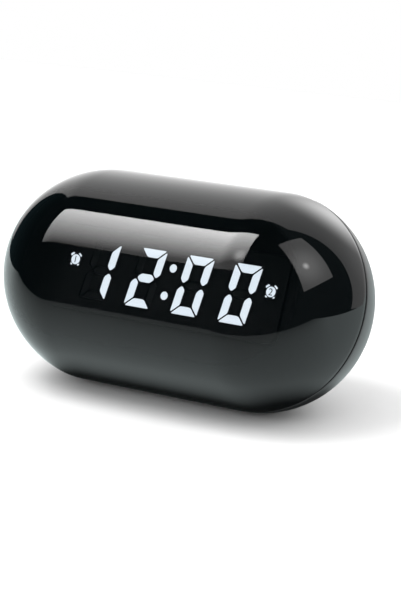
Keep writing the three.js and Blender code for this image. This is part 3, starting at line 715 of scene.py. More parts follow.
cutters = []
for spot in screw_spots:
    cutters.append(rod(WELL_RADIUS, HEAD_SEAT, FAR, along_depth(spot.x, spot.z)))
    cutters.append(rod(SCREW_HOLE, 0.0, HEAD_SEAT + 1, along_depth(spot.x, spot.z)))
snooze_hole = SNOOZE_WIDTH / 2 + KEY_GAP
snooze_spine = (SNOOZE_LENGTH - SNOOZE_WIDTH) / 2
cutters.append(rod(snooze_hole, FLANGE_TOP, FAR / 2, snooze_place, snooze_spine))
for place, bend in key_places.values():
    cutters.append(rod(KEY_RADIUS + KEY_GAP, FLANGE_TOP, FAR / 2, place))
for row in range(-3, 4):
    z = row * GRILLE_PITCH
    half_length = math.sqrt(GRILLE_RADIUS**2 - z**2)
    slot_place = along_depth(speaker_x, z)
    cutters.append(rod(GRILLE_SLOT / 2, SPEAKER_FACE + GAP, FAR, slot_place, half_length))
cutters.append(rod(INLET_COLLAR + GAP, COLLAR_SEAT, FAR, along_depth(inlet_x, 0)))
cutters.append(brick(
    (dimmer_low.x - GAP, CASE_FRONT, dimmer_low.z - GAP),
    (dimmer_high.x + DIMMER_TRAVEL + GAP, FAR, dimmer_high.z + GAP),
))
cutters.append(rod(CELL_RADIUS + GAP, CUP_FLOOR, 0.0, cap_place, steps=36))
cutters.append(rod(CAP_RADIUS + GAP, CAP_BOTTOM - GAP, FAR / 2, cap_place, steps=36))
undercut_top = CAP_BOTTOM + LUG_THICKNESS + GAP
cutters.append(rod(CAP_RADIUS + LUG + GAP, CAP_BOTTOM - GAP, undercut_top, cap_place, steps=36))
notch = (CAP_RADIUS + LUG + GAP, LUG_HALF + GAP)
cutters.append(brick(
    (-notch[0], -notch[1], CAP_BOTTOM - GAP),
    (notch[0], notch[1], FAR / 2),
    turned_about(cap_place, CAP_TURN),
))
rear_skin = machine(rear_skin, cutters, "DIFFERENCE")
rear_shell = make_piece(
    "rear_case", rear_skin, BODY, CASE, replaces=["rear_shell"]
)

# %% [markdown]
# ## Keys and the snooze bar
# A key is a short plug whose head follows the curve of the shell and whose edge is rounded for the
# finger. Below it a flange stops it from falling out. The head is bent about the clock's length
# after it is lofted: points further across the shell drop by the height of the arc there.

# %% Keys that follow the shell
KEY_PROUD = 0.8
KEY_DEEP = 6.0
KEY_ROUND = 0.7
FLANGE = 0.9


def key_skin(radius, spine, bend):
    """A key's head, stem and flange, with the head bent to the shell's curve."""
    flat_top = radius - KEY_ROUND
    rows = [(flat_top * i / 5, KEY_PROUD) for i in range(5)]
    rows += fillet(flat_top, KEY_PROUD - KEY_ROUND, KEY_ROUND, 90, 0)
    rows += [(radius, FLANGE_TOP), (radius + 1, FLANGE_TOP), (radius + 1, FLANGE_TOP - FLANGE)]
    rows += [(radius, FLANGE_TOP - FLANGE), (radius, -KEY_DEEP), (0.0, -KEY_DEEP)]
    mesh = loft(rows, spine, steps=28)
    for vertex in mesh.verts:
        if vertex.co.z > FLANGE_TOP / 2:
            vertex.co.z -= vertex.co.y**2 / (2 * bend)
    return mesh


for name, (place, bend) in key_places.items():
    make_piece(
        f"{name}_button", key_skin(KEY_RADIUS, 0.0, bend), BODY @ place, KEY,
        body=f"{name}_key", replaces=[f"{name}_key"],
    )
make_piece(
    "snooze_pad", key_skin(SNOOZE_WIDTH / 2, snooze_spine, snooze_bend), BODY @ snooze_place,
    KEY, body="snooze_bar", replaces=["snooze_bar"],
)

# %% [markdown]
# ## Flat shapes: segments, marks and numerals
# Segments of a digit, the plus and minus on the keys and the small alarm pictograms are flat
# outlines with some thickness. An outline is rounded at its corners first, then pulled into a thin
# plate. Numerals come from Blender's own plain font.


# %% Plates from outlines
def rounded_outline(points, radius, steps=4):
    """The same outline with each corner replaced by a short arc."""
    result = []
    count = len(points)
    for i, corner in enumerate(points):
        corner = Vector(corner)
        before = Vector(points[i - 1]) - corner
        after = Vector(points[(i + 1) % count]) - corner
        reach = min(radius, before.length * 0.45, after.length * 0.45)
        start = corner + before.normalized() * reach
        end = corner + after.normalized() * reach
        for step in range(steps + 1):
            share = step / steps
            result.append(
                (1 - share) ** 2 * start + 2 * share * (1 - share) * corner + share**2 * end
            )
    return result


def circle(x, z, radius, steps=40):
    turns = [2 * math.pi * i / steps for i in range(steps)]
    return [Vector((x + radius * math.cos(t), z + radius * math.sin(t))) for t in turns]


def plates(outlines, low, high):
    """Closed plates between two heights along local Z, one for each outline."""
    mesh = bmesh.new()
    for outline in outlines:
        bottom = [mesh.verts.new((x, y, low)) for x, y in outline]
        top = [mesh.verts.new((x, y, high)) for x, y in outline]
        mesh.faces.new(bottom[::-1])
        mesh.faces.new(top)
        for i in range(len(outline)):
            after = (i + 1) % len(outline)
            mesh.faces.new((bottom[i], bottom[after], top[after], top[i]))
    bmesh.ops.triangulate(mesh, faces=[face for face in mesh.faces if len(face.verts) > 4])
    bmesh.ops.recalc_face_normals(mesh, faces=mesh.faces)
    return mesh


def numeral(character, height, low, high):
    """A numeral as a closed plate, centred on local X and Y."""
    curve = bpy.data.curves.new("numeral", "FONT")
    curve.body = character
    curve.size = height * 1.38
    curve.align_x = "CENTER"
    curve.align_y = "CENTER"
    curve.extrude = (high - low) / 2
    writing = new_object("numeral", curve)
    evaluated = writing.evaluated_get(bpy.context.evaluated_depsgraph_get())
    mesh = bmesh.new()
    mesh.from_mesh(bpy.data.meshes.new_from_object(evaluated))
    bpy.data.objects.remove(writing)
    bounds = [[f(v.co[i] for v in mesh.verts) for f in (min, max)] for i in range(2)]
    middle = [sum(pair) / 2 for pair in bounds]
    shift = Matrix.Translation((-middle[0], -middle[1], (low + high) / 2))
    return outward(moved(mesh, shift))


# %% [markdown]
# ## The lit digits
# Each digit leans a little to the right, as seven-segment digits do. The thin plates that glow lie
# just inside the windows of the housing, so the dark walls between the segments stay visible as
# fine mitred gaps.

# %% Segments of a digit
DIGIT_PITCH, DIGIT_WIDTH, DIGIT_HEIGHT = 19.35, 11.0, 20.9
SEGMENT, SEGMENT_GAP = 3.1, 0.32
SLANT = math.tan(math.radians(7.2))
LIT_INSET = 0.1
LIT_LOW, LIT_HIGH = -0.26, -0.04  # of the glowing plates, from the housing's face
CORNER = 0.75
DISPLAY = Matrix.Translation((0, -DISPLAY_FRONT, 0)) @ Matrix.Rotation(math.pi / 2, 4, "X")


def segment_outlines(inset):
    """The seven outlines of a digit, named by where they are, about the digit's centre."""
    right, top = DIGIT_WIDTH / 2, DIGIT_HEIGHT / 2
    slit = SEGMENT_GAP / math.sqrt(2) + inset
    mitre = slit * math.sqrt(2)
    inner, half = SEGMENT - inset, SEGMENT / 2 - inset
    tip = right - SEGMENT / 2 - mitre
    upright = [
        (right - inset, top - mitre - inset),
        (right - inset, half + mitre),
        (right - SEGMENT / 2, mitre),
        (right - inner, half + mitre),
        (right - inner, top - inner - mitre),
    ]
    level = [
        (-(right - mitre - inset), top - inset),
        (right - mitre - inset, top - inset),
        (right - inner - mitre, top - inner),
        (-(right - inner - mitre), top - inner),
    ]
    middle = [(-tip, 0), (half - tip, half), (tip - half, half)]
    middle += [(-x, -z) for x, z in middle]
    return {
        "top": level,
        "bottom": [(x, -z) for x, z in level],
        "middle": middle,
        "upper_right": upright,
        "upper_left": [(-x, z) for x, z in upright],
        "lower_right": [(x, -z) for x, z in upright],
        "lower_left": [(-x, -z) for x, z in upright],
    }


LIT = {
    "1": ["upper_right", "lower_right"],
    "2": ["top", "upper_right", "middle", "lower_left", "bottom"],
    "0": ["top", "upper_right", "lower_right", "bottom", "lower_left", "upper_left"],
}


def lean_over(points, x):
    return [Vector((x + px + pz * SLANT, pz)) for px, pz in points]


# %% Light twelve o'clock
outlines = segment_outlines(LIT_INSET)
for position, character in zip((-1.5, -0.5, 0.5, 1.5), "1200"):
    lit = [
        rounded_outline(lean_over(outlines[segment], position * DIGIT_PITCH), CORNER)
        for segment in LIT[character]
    ]
    order = int(position + 2.5)
    make_piece(
        f"lit_digit_{order}", plates(lit, LIT_LOW, LIT_HIGH), BODY @ DISPLAY, GLOW,
    )
COLON_RISE, COLON_RADIUS = 4.9, 1.5
LIT_COLON_RADIUS = COLON_RADIUS - 0.05
rises = (COLON_RISE, -COLON_RISE)
dots = [circle(rise * SLANT, rise, LIT_COLON_RADIUS) for rise in rises]
make_piece("lit_colon", plates(dots, LIT_LOW, LIT_HIGH), BODY @ DISPLAY, GLOW)

# %% [markdown]
# Each alarm has a pictogram of a small alarm clock: a round face with its number, two bells and
# two feet. The face glows, and the number is a dark plate on it.

# %% Alarm pictograms
PICTOGRAM_REACH, PICTOGRAM_RISE = 40.5, 2.5
FACE_RADIUS = 1.76
BELL_OUT, FOOT_OUT = 2.4, 2.32  # from the middle of the face
BELL_TURN, FOOT_TURN = 42, 40  # degrees from straight up and straight down


def turned_outline(points, angle, x, z):
    cos, sin = math.cos(angle), math.sin(angle)
    return [Vector((x + px * cos - pz * sin, z + px * sin + pz * cos)) for px, pz in points]


def pictogram(x, z):
    """Outlines of the little clock: its face, two bells and two feet."""
    bell = [(-0.84, -0.2), (0.84, -0.2), (0.56, 0.42), (-0.56, 0.42)]
    foot = [(-0.42, -0.2), (0.42, -0.2), (0.32, 0.24), (-0.32, 0.24)]
    shapes = [circle(x, z, FACE_RADIUS)]
    for side in (1, -1):
        for outline, reach, turn in (
            (bell, BELL_OUT, -side * BELL_TURN), (foot, FOOT_OUT, 180 + side * FOOT_TURN)
        ):
            angle = math.radians(turn)
            place = (x - math.sin(angle) * reach, z + math.cos(angle) * reach)
            shapes.append(rounded_outline(turned_outline(outline, angle, *place), 0.22))
    return shapes


for alarm, side in (("1", -1), ("2", 1)):
    x = side * PICTOGRAM_REACH
    shapes = plates(pictogram(x, PICTOGRAM_RISE), LIT_LOW, LIT_HIGH)
    make_piece(f"lit_alarm_{alarm}", shapes, BODY @ DISPLAY, ICON_GLOW)
    number_place = BODY @ DISPLAY @ Matrix.Translation((x, PICTOGRAM_RISE, 0))
    number = numeral(alarm, 2.5, LIT_HIGH, LIT_HIGH + 0.06)
    make_piece(f"alarm_{alarm}_number", number, number_place, FRAME)

# %% [markdown]
# ## Marks on the keys
# The marks are printed in pale paint, a hair proud of the plastic, and each rides on its key. The
# time key has a small clock face with two hands.

# %% Print the marks
MARK_LOW, MARK_HIGH = KEY_PROUD - 0.2, KEY_PROUD + 0.04
bar = [(-1.5, -0.3), (1.5, -0.3), (1.5, 0.3), (-1.5, 0.3)]


def ring_outlines(radius, stroke, parts=24):
    """A ring as a row of short plates that share no edge, so each stays closed."""
    shapes = []
    for i in range(parts):
        turns = [2 * math.pi * (i + share) / parts for share in (0, 1)]
        corners = [(radius, turns[0]), (radius, turns[1]), (radius - stroke, turns[1])]
        corners.append((radius - stroke, turns[0]))
        shapes.append([Vector((r * math.cos(t), r * math.sin(t))) for r, t in corners])
    return shapes


mark_shapes = {
    "minus": [bar],
    "plus": [bar, [(-0.3, 0.3), (0.3, 0.3), (0.3, 1.5), (-0.3, 1.5)],
             [(-0.3, -1.5), (0.3, -1.5), (0.3, -0.3), (-0.3, -0.3)]],
    "time": [*ring_outlines(1.9, 0.4), [(-0.2, -0.2), (0.2, -0.2), (0.2, 1.2), (-0.2, 1.2)],
             [(0.2, -0.2), (1.0, -0.2), (1.0, 0.2), (0.2, 0.2)]],
}
for name, (place, bend) in key_places.items():
    if name in mark_shapes:
        mark = plates(mark_shapes[name], MARK_LOW, MARK_HIGH)
    else:
        mark = numeral(name[-1], 3.2, MARK_LOW, MARK_HIGH)
    for vertex in mark.verts:
        vertex.co.z -= vertex.co.y**2 / (2 * bend)
    turn = Matrix.Rotation(math.pi, 4, "Z")
    make_piece(f"{name}_mark", mark, BODY @ place @ turn, MARK, body=f"{name}_key")

# %% [markdown]
# ## Shapes that repeat
# Screws, ridges and the speaker's mesh repeat one shape, so Geometry Nodes make them. A Pattern is
# a node tree with named inputs. To grow it, a modifier is put on an empty object, its inputs are
# set by their identifiers, and the result is taken as a plain mesh.


# %% Patterns and how they are grown
class Pattern(Graph):
    """A Geometry Nodes tree with named inputs."""

    def __init__(self, name, **sizes):
        tree = bpy.data.node_groups.new(name, "GeometryNodeTree")
        super().__init__(tree)
        tree.interface.new_socket("Geometry", in_out="OUTPUT", socket_type="NodeSocketGeometry")
        sizes = {"Spots": "NodeSocketGeometry", **sizes}
        for size, kind in sizes.items():
            tree.interface.new_socket(size, in_out="INPUT", socket_type=kind)
        entry = tree.nodes.new("NodeGroupInput")
        self.inputs = {size: Wire(self, entry.outputs[size]) for size in sizes}

    def vector(self, x=0.0, y=0.0, z=0.0):
        return self.node("ShaderNodeCombineXYZ", sockets={"X": x, "Y": y, "Z": z})

    def done(self, geometry, material):
        """Every tree ends in real geometry with its material."""
        real = self.node("GeometryNodeRealizeInstances", sockets={"Geometry": geometry})
        sockets = {"Geometry": real, "Material": material}
        coated = self.node("GeometryNodeSetMaterial", sockets=sockets)
        self.node("NodeGroupOutput", sockets={"Geometry": coated})
        return self.tree


def grow(name, tree, place, slot, body="root", replaces=(), base=None, **sizes):
    """Runs a pattern and makes a piece of what it gives."""
    seed = new_object("seed", base or bpy.data.meshes.new("seed"))
    modifier = seed.modifiers.new("pattern", "NODES")
    modifier.node_group = tree
    for item in tree.interface.items_tree:
        if item.in_out == "INPUT" and item.name in sizes:
            modifier[item.identifier] = sizes[item.name]
    evaluated = seed.evaluated_get(bpy.context.evaluated_depsgraph_get())
    data = bpy.data.meshes.new_from_object(evaluated)
    bpy.data.objects.remove(seed)
    data.name = name
    data.transform(place)
    return finish_piece(new_object(name, data), None, body, replaces)


# %% [markdown]
# ## Case screws
# The four screws sit deep in their wells. A pan head is a short cone, and the cross is cut from it
# by two blocks. The pattern makes one screw and puts a copy on each spot.

# %% The screw pattern
FLOAT, INT = "NodeSocketFloat", "NodeSocketInt"


def screw_pattern():
    pattern = Pattern("case_screws", Head=FLOAT, Height=FLOAT, Shaft=FLOAT, Length=FLOAT)
    head, height = pattern.inputs["Head"], pattern.inputs["Height"]
    sockets = {"Vertices": 28, "Radius Top": head * 0.8, "Radius Bottom": head, "Depth": height}
    cone = pattern.node("GeometryNodeMeshCone", sockets=sockets)
    arms = []
    for long_way, short_way in ((1.16, 0.27), (0.27, 1.16)):
        size = pattern.vector(head * long_way, head * short_way, height)
        arm = pattern.node("GeometryNodeMeshCube", sockets={"Size": size})
        move = {"Geometry": arm, "Translation": pattern.vector(z=height * 1.3)}
        arms.append(pattern.node("GeometryNodeTransform", sockets=move))
    crossed = cone
    for arm in arms:
        cut = {"Mesh 1": crossed, "Mesh 2": arm}
        settings = {"operation": "DIFFERENCE", "solver": "EXACT"}
        crossed = pattern.node("GeometryNodeMeshBoolean", settings, cut)
    length = pattern.inputs["Length"]
    shaft_size = {"Vertices": 20, "Radius": pattern.inputs["Shaft"], "Depth": length}
    shaft = pattern.node("GeometryNodeMeshCylinder", sockets=shaft_size)
    down = {"Geometry": shaft, "Translation": pattern.vector(z=length * -0.5)}
    shaft = pattern.node("GeometryNodeTransform", sockets=down)
    screw = pattern.node("GeometryNodeJoinGeometry", sockets={"Geometry": shaft})
    pattern.tree.links.new(crossed.socket, screw.socket.node.inputs["Geometry"])
    spots = {"Points": pattern.inputs["Spots"], "Instance": screw}
    copies = pattern.node("GeometryNodeInstanceOnPoints", sockets=spots)
    return pattern.done(copies, STEEL)


def spots_mesh(points):
    data = bpy.data.meshes.new("spots")
    data.from_pydata([tuple(point) for point in points], [], [])
    return data


under_head = HEAD_SEAT + GAP
spots = [
    BACKWARD.inverted() @ Vector((s.x, under_head + HEAD_HEIGHT / 2, s.z)) for s in screw_spots
]
grow(
    "case_screw_set", screw_pattern(), BODY @ BACKWARD, "bare_metal", replaces=screws,
    base=spots_mesh(spots), Head=HEAD_RADIUS, Height=HEAD_HEIGHT, Shaft=SHAFT_RADIUS,
    Length=SCREW_LENGTH + HEAD_HEIGHT / 2,
)

# %% [markdown]
# ## Ridges on the snooze bar
# A hand finds the bar in the dark by a few soft ridges. One ridge is a stretched ball sunk into the
# rubbery plastic, and the pattern sets a row of them along the bar.


# %% The ridge pattern
def ridge_pattern():
    sizes = {"Length": FLOAT, "Width": FLOAT, "Height": FLOAT, "Pitch": FLOAT, "Count": INT}
    pattern = Pattern("snooze_ridges", **sizes)
    count, pitch = pattern.inputs["Count"], pattern.inputs["Pitch"]
    start = pattern.vector(x=(count - 1) * pitch * -0.5)
    row = {"Count": count, "Start Location": start, "Offset": pattern.vector(x=pitch)}
    line = pattern.node("GeometryNodeMeshLine", sockets=row)
    ball = pattern.node("GeometryNodeMeshUVSphere", sockets={"Segments": 20, "Rings": 12})
    size = pattern.vector(
        pattern.inputs["Width"] * 0.5, pattern.inputs["Length"] * 0.5, pattern.inputs["Height"]
    )
    spots = {"Points": line, "Instance": ball, "Scale": size}
    copies = pattern.node("GeometryNodeInstanceOnPoints", sockets=spots)
    return pattern.done(copies, KEY)


ridge_place = BODY @ snooze_place @ Matrix.Translation((0, 0, KEY_PROUD - 0.12))
grow(
    "snooze_ridges", ridge_pattern(), ridge_place, "key_plastic", body="snooze_bar",
    Length=6.5, Width=1.3, Height=0.42, Pitch=3.2, Count=9,
)

# %% [markdown]
# ## The screen behind the grille
# Through the slots shows a black woven screen that keeps dust off the cone. Strands run both ways
# across a round opening, and each strand is as long as the circle is wide there.


# %% The screen pattern
def screen_pattern():
    pattern = Pattern("speaker_screen", Radius=FLOAT, Pitch=FLOAT, Strand=FLOAT)
    radius, pitch = pattern.inputs["Radius"], pattern.inputs["Pitch"]
    count = pattern.math("FLOOR", pattern.math("DIVIDE", radius * 1.96, pitch))
    start = pattern.vector(y=(count - 1) * pitch * -0.5)
    row = {"Count": count, "Start Location": start, "Offset": pattern.vector(y=pitch)}
    line = pattern.node("GeometryNodeMeshLine", sockets=row)
    place = pattern.node("GeometryNodeInputPosition")
    across = pattern.node("ShaderNodeSeparateXYZ", sockets={0: place}, output="Y")
    reach = pattern.math("SQRT", radius * radius - across * across)
    bar_size = {"Vertices": 6, "Radius": pattern.inputs["Strand"], "Depth": 2.0}
    strand = pattern.node("GeometryNodeMeshCylinder", sockets=bar_size)
    lying = {"Geometry": strand, "Rotation": (0, math.pi / 2, 0)}
    strand = pattern.node("GeometryNodeTransform", sockets=lying)
    spots = {"Points": line, "Instance": strand, "Scale": pattern.vector(reach, 1.0, 1.0)}
    weft = pattern.node("GeometryNodeInstanceOnPoints", sockets=spots)
    lift = pattern.vector(z=pattern.inputs["Strand"] * 1.6)
    turn = {"Geometry": weft, "Rotation": (0, 0, math.pi / 2), "Translation": lift}
    warp = pattern.node("GeometryNodeTransform", sockets=turn)
    both = pattern.node("GeometryNodeJoinGeometry", sockets={"Geometry": weft})
    pattern.tree.links.new(warp.socket, both.socket.node.inputs["Geometry"])
    return pattern.done(both, CHIP)


SCREEN_RADIUS = 15.7
SCREEN_AHEAD = 0.7  # from the speaker's face back to the screen
screen_place = Matrix.Translation((speaker_x, SPEAKER_FACE + SCREEN_AHEAD, 0)) @ BACKWARD
grow(
    "speaker_screen", screen_pattern(), BODY @ screen_place, "component_black",
    Radius=SCREEN_RADIUS, Pitch=0.62, Strand=0.14,
)
hoop = tube(SCREEN_RADIUS + 0.2, SCREEN_RADIUS - 0.6, -0.3, 0.6, Matrix())
make_piece("speaker_screen_hoop", hoop, BODY @ screen_place, CHIP)

# %% [markdown]
# ## Dimmer, battery cap and power inlet
# The dimmer's knob has three grooves for a fingernail: its outline is drawn with the grooves and
# pulled across the slot. The cap over the coin cell turns with a coin, so it has a coin slot, two
# lugs below and a small arrow. The inlet is a round socket with a pin in its middle.

# %% Dimmer knob
GROOVES = 3
GROOVE_DEEP = 0.45
dimmer_wide = dimmer_high.x - dimmer_low.x
knob_outline = [(dimmer_low.x, dimmer_low.y), (dimmer_high.x, dimmer_low.y)]
tooth = dimmer_wide / (2 * GROOVES + 1)
for i in range(2 * GROOVES + 1):
    height = dimmer_high.y - (GROOVE_DEEP if i % 2 else 0.0)
    right_edge = dimmer_high.x - i * tooth
    knob_outline += [(right_edge, height), (right_edge - tooth, height)]
knob = plates([rounded_outline(knob_outline, 0.16)], dimmer_low.z, dimmer_high.z)
make_piece(
    "dimmer_slider", knob, BODY, KEY, body="dimmer_knob", replaces=["dimmer_knob"]
)

# %% Battery cap
cap_edge = fillet(CAP_RADIUS - 0.4, -CAP_SINK - 0.4, 0.4, 90, 0)
cap_rows = [(0.0, -CAP_SINK), *cap_edge, (CAP_RADIUS, CAP_BOTTOM), (0.0, CAP_BOTTOM)]
lug_reach = CAP_RADIUS + LUG
lug_top = CAP_BOTTOM + LUG_THICKNESS
lugs = brick((-lug_reach, -LUG_HALF, CAP_BOTTOM), (lug_reach, LUG_HALF, lug_top))
cap = machine(loft(cap_rows), [lugs], "UNION")
coin_slot = rod(0.8, -CAP_SINK - 0.8, 0.0, Matrix(), spine=6.2)
arrow = plates([[(-1.1, 8.0), (1.1, 8.0), (0, 10.0)]], -CAP_SINK - 0.3, 0.0)
ring_groove = tube(10.9, 10.5, -CAP_SINK - 0.25, 0.0, Matrix())
cap = machine(cap, [coin_slot, arrow, ring_groove], "DIFFERENCE")
make_piece(
    "coin_cell_cap", cap, BODY @ cap_place, CASE, body="battery_cap",
    replaces=["battery_cap"],
)

# %% Power inlet and its pin
INLET_DEPTH, INLET_BORE = 9.5, 3.1
inlet_low, inlet_high = body_box("power_inlet")
collar_rows = [(0.0, inlet_low.y + 1), (INLET_COLLAR, inlet_low.y + 1)]
collar_rows += [*fillet(INLET_COLLAR - 0.4, INLET_FACE - 0.4, 0.4, 0, 90), (0.0, INLET_FACE)]
inlet_place = along_depth(inlet_x, 0)
inlet = moved(loft(collar_rows, steps=28), inlet_place)
inlet_block = brick(inlet_low, (inlet_high.x, COLLAR_SEAT, inlet_high.z))
inlet = machine(inlet, [inlet_block], "UNION")
bore = rod(INLET_BORE, INLET_FACE - INLET_DEPTH, FAR, inlet_place)
flare = loft([
    (0.0, INLET_FACE - 0.5),
    (INLET_BORE - 0.1, INLET_FACE - 0.5),
    (INLET_BORE + 0.5, INLET_FACE + 0.1),
    (0.0, INLET_FACE + 0.1),
], steps=24)
inlet = machine(inlet, [bore, moved(flare, inlet_place)], "DIFFERENCE")
make_piece("inlet_socket", inlet, BODY, CHIP, replaces=["power_inlet"])
pin_low, pin_high = body_box("inlet_pin")
pin_rows = [(0.0, pin_low.y), (1.0, pin_low.y), *fillet(0.4, pin_high.y - 0.6, 0.6, 0, 90)]
pin_rows.append((0.0, pin_high.y))
make_piece(
    "inlet_centre_pin", loft(pin_rows, steps=12), BODY @ inlet_place, STEEL,
    replaces=["inlet_pin"],
)

# %% [markdown]
# ## Rubber feet
# The feet stand upright while the body above them leans, so the top of each foot has to follow the
# curve of the shell. A ray sent up from each point of the foot's top finds the shell above it.

# %% Feet that fit the shell
FOOT_ROUND = 0.35
FOOT_GAP = 0.05
FEET = ["foot_front_left", "foot_front_right", "foot_rear_left", "foot_rear_right"]


def shell_above():
    """A search tree of both shells, in the frame's metres."""
    points, faces = [], []
    for shell in (dome, rear_shell):
        start = len(points)
        points += [vertex.co.copy() for vertex in shell.data.vertices]
        faces += [[start + i for i in face.vertices] for face in shell.data.polygons]
    return BVHTree.FromPolygons(points, faces)


shells = shell_above()
for foot in FEET:
    low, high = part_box(foot)
    radius = (high.x - low.x) / 2 / MM
    rows = [(0.0, 0.0), *fillet(radius - FOOT_ROUND, FOOT_ROUND, FOOT_ROUND, -90, 0)]
    top = 2 * FOOT_ROUND
    rows += [(radius * (1 - i / 6), top) for i in range(7)]
    skin = loft(rows, steps=28)
    stand = Matrix.Translation(((low.x + high.x) / 2, (low.y + high.y) / 2, 0))
    stand = stand @ Matrix.Scale(MM, 4)
    for vertex in skin.verts:
        if vertex.co.z > top - 0.01:
            start = stand @ Vector((vertex.co.x, vertex.co.y, 0))
            hit = shells.ray_cast(start, Vector((0, 0, 1)))[0]
            if hit:
                vertex.co.z = min(hit.z, high.z) / MM - FOOT_GAP
    make_piece(f"rubber_{foot}", skin, stand, RUBBER, replaces=[foot])

# %% [markdown]
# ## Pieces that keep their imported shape
# The plates, boards and parts inside are right as they are. They only need their finishes.

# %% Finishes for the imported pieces
FINISHES = {
    "inner_plastic": (FRAME, ["display_frame"]),
    "housing": (HOUSING, ["led_housing"]),
    "diffuser": (DIFFUSER, ["led_diffuser"]),
    "boards": (LACQUER, ["led_board", "main_board", "key_board", "snooze_board"]),
    "switches": (SWITCH, ["dimmer_case", "snooze_switch", *[f"{n}_switch" for n in KEY_NAMES]]),
    "black": (CHIP, ["controller_chip", "filter_capacitor", "board_header", "speaker_magnet"]),
    "paper": (PAPER, ["speaker_cone"]),
    "metal": (STEEL, ["speaker_basket", "tuner_can", "coin_cell", "battery_contact"]),
}
for material, names in FINISHES.values():
    for name in names:
        frame["nodes"][name].data.materials.clear()
        frame["nodes"][name].data.materials.append(material)
painted = sum(len(names) for material, names in FINISHES.values())
print("packed pieces with new finishes:", painted)

# %% [markdown]
# ## The studio
# A mirror shows its surroundings, so the studio is as much a part of the look as the clock is. A
# white floor starts just ahead of the clock and a white sweep rises behind it. A large soft light
# hangs above and in front, with a small one to its right. The rest of the room is dark, and the
# dome shows it as its black band. The camera sees none of the lights. Where they hang and how
# their strength changes is tuned for the camera's view, and for no other.


# %% Surfaces of the studio
def stage_piece(name, points, faces, material, seen=False):
    data = bpy.data.meshes.new(name)
    data.from_pydata([tuple(point) for point in points], [], faces)
    data.materials.append(material)
    thing = new_object(name, data)
    thing.visible_camera = seen
    thing.visible_shadow = seen
    print(name, "is part of the studio")
    return thing


class Light(Finish):
    """A glowing surface whose strength changes from place to place."""

    def spot(self, centre, reach):
        """1 at the centre, fading to 0 at the given reach in metres."""
        sockets = {0: self.place, 1: tuple(centre)}
        distance = self.node("ShaderNodeVectorMath", {"operation": "DISTANCE"}, sockets, "Value")
        settings = {"interpolation_type": "SMOOTHSTEP"}
        sockets = {"Value": distance, "From Max": reach, "To Min": 1.0, "To Max": 0.0}
        return self.node("ShaderNodeMapRange", settings, sockets)

    def ramp(self, axis, low, high, start, end):
        """A value that runs from start to end between two places along an axis."""
        along = self.node("ShaderNodeSeparateXYZ", sockets={0: self.place}, output=axis)
        sockets = {"Value": along, "From Min": low, "From Max": high, "To Min": start}
        return self.node("ShaderNodeMapRange", sockets={**sockets, "To Max": end})

    def shine(self, strength):
        sockets = {"Color": (1, 1, 1, 1), "Strength": strength}
        return self.done(self.node("ShaderNodeEmission", sockets=sockets))


def from_seam(*millimetres):
    """A place in the studio, measured upright from the middle of the seam."""
    return UPRIGHT @ Vector(millimetres)


# %% [markdown]
# The dome mirrors the floor so clearly that the grain of the render would show in it. So the floor
# has two finishes: a matt one for the eye, and for the mirror an even glow that darkens under the
# clock, as the real floor does in the clock's shade.

# %% Floor
FLOOR_EDGE = -120.0  # the white floor starts this far ahead of the clock, for the dome
FLOOR_SIZE = 0.55
SHADE_START, SHADE_END = 0.0148, 0.031  # from the line under the clock, in metres
SHADE_LEFT, SHADE_RIGHT = -33.5, 42.0  # ends of that line
FLOOR_DULL, FLOOR_PALE = (0.80, 0.80, 0.80), (0.82, 0.82, 0.82)
FLOOR_MIRRORED = (0.88, 1.0, 1.0)  # a cool white
FLOOR_NEAR, FLOOR_FAR = 0.42, 1.15  # strength of the glow ahead of the clock and under it
FLOOR_SHADE = 0.02  # share of the glow that is left in the shade


def floor_finish():
    finish = Light("pale_floor")
    colour = finish.blend(finish.noise(0.01), FLOOR_DULL, FLOOR_PALE)
    matt = finish.plastic(colour, 0.9)
    x = finish.node("ShaderNodeSeparateXYZ", sockets={0: finish.place}, output="X")
    y = finish.node("ShaderNodeSeparateXYZ", sockets={0: finish.place}, output="Y")
    reach = finish.reach(x, y, SHADE_LEFT * MM, SHADE_RIGHT * MM)
    settings = {"interpolation_type": "SMOOTHSTEP"}
    sockets = {"Value": reach, "From Min": SHADE_START, "From Max": SHADE_END}
    sockets = {**sockets, "To Min": FLOOR_SHADE, "To Max": 1.0}
    shade = finish.node("ShaderNodeMapRange", settings, sockets)
    rise = finish.ramp("Y", seam_middle.y + FLOOR_EDGE * MM, 0.0, FLOOR_NEAR, FLOOR_FAR)
    glow = finish.node("ShaderNodeEmission", sockets={
        "Color": (*FLOOR_MIRRORED, 1), "Strength": shade * rise
    })
    mirrored_ray = finish.node("ShaderNodeLightPath", output="Is Glossy Ray")
    return finish.done(
        finish.node("ShaderNodeMixShader", sockets={0: mirrored_ray, 1: matt, 2: glow})
    )


floor_material = floor_finish()
edge = from_seam(0, FLOOR_EDGE, 0).y
for name, near, far in (("floor", edge, FLOOR_SIZE), ("floor_front", -FLOOR_SIZE, edge)):
    corners = [(-FLOOR_SIZE, near, 0), (FLOOR_SIZE, near, 0), (FLOOR_SIZE, far, 0)]
    corners.append((-FLOOR_SIZE, far, 0))
    ground = stage_piece(name, corners, [(0, 1, 2, 3)], floor_material, seen=True)
    ground.visible_glossy = name == "floor"

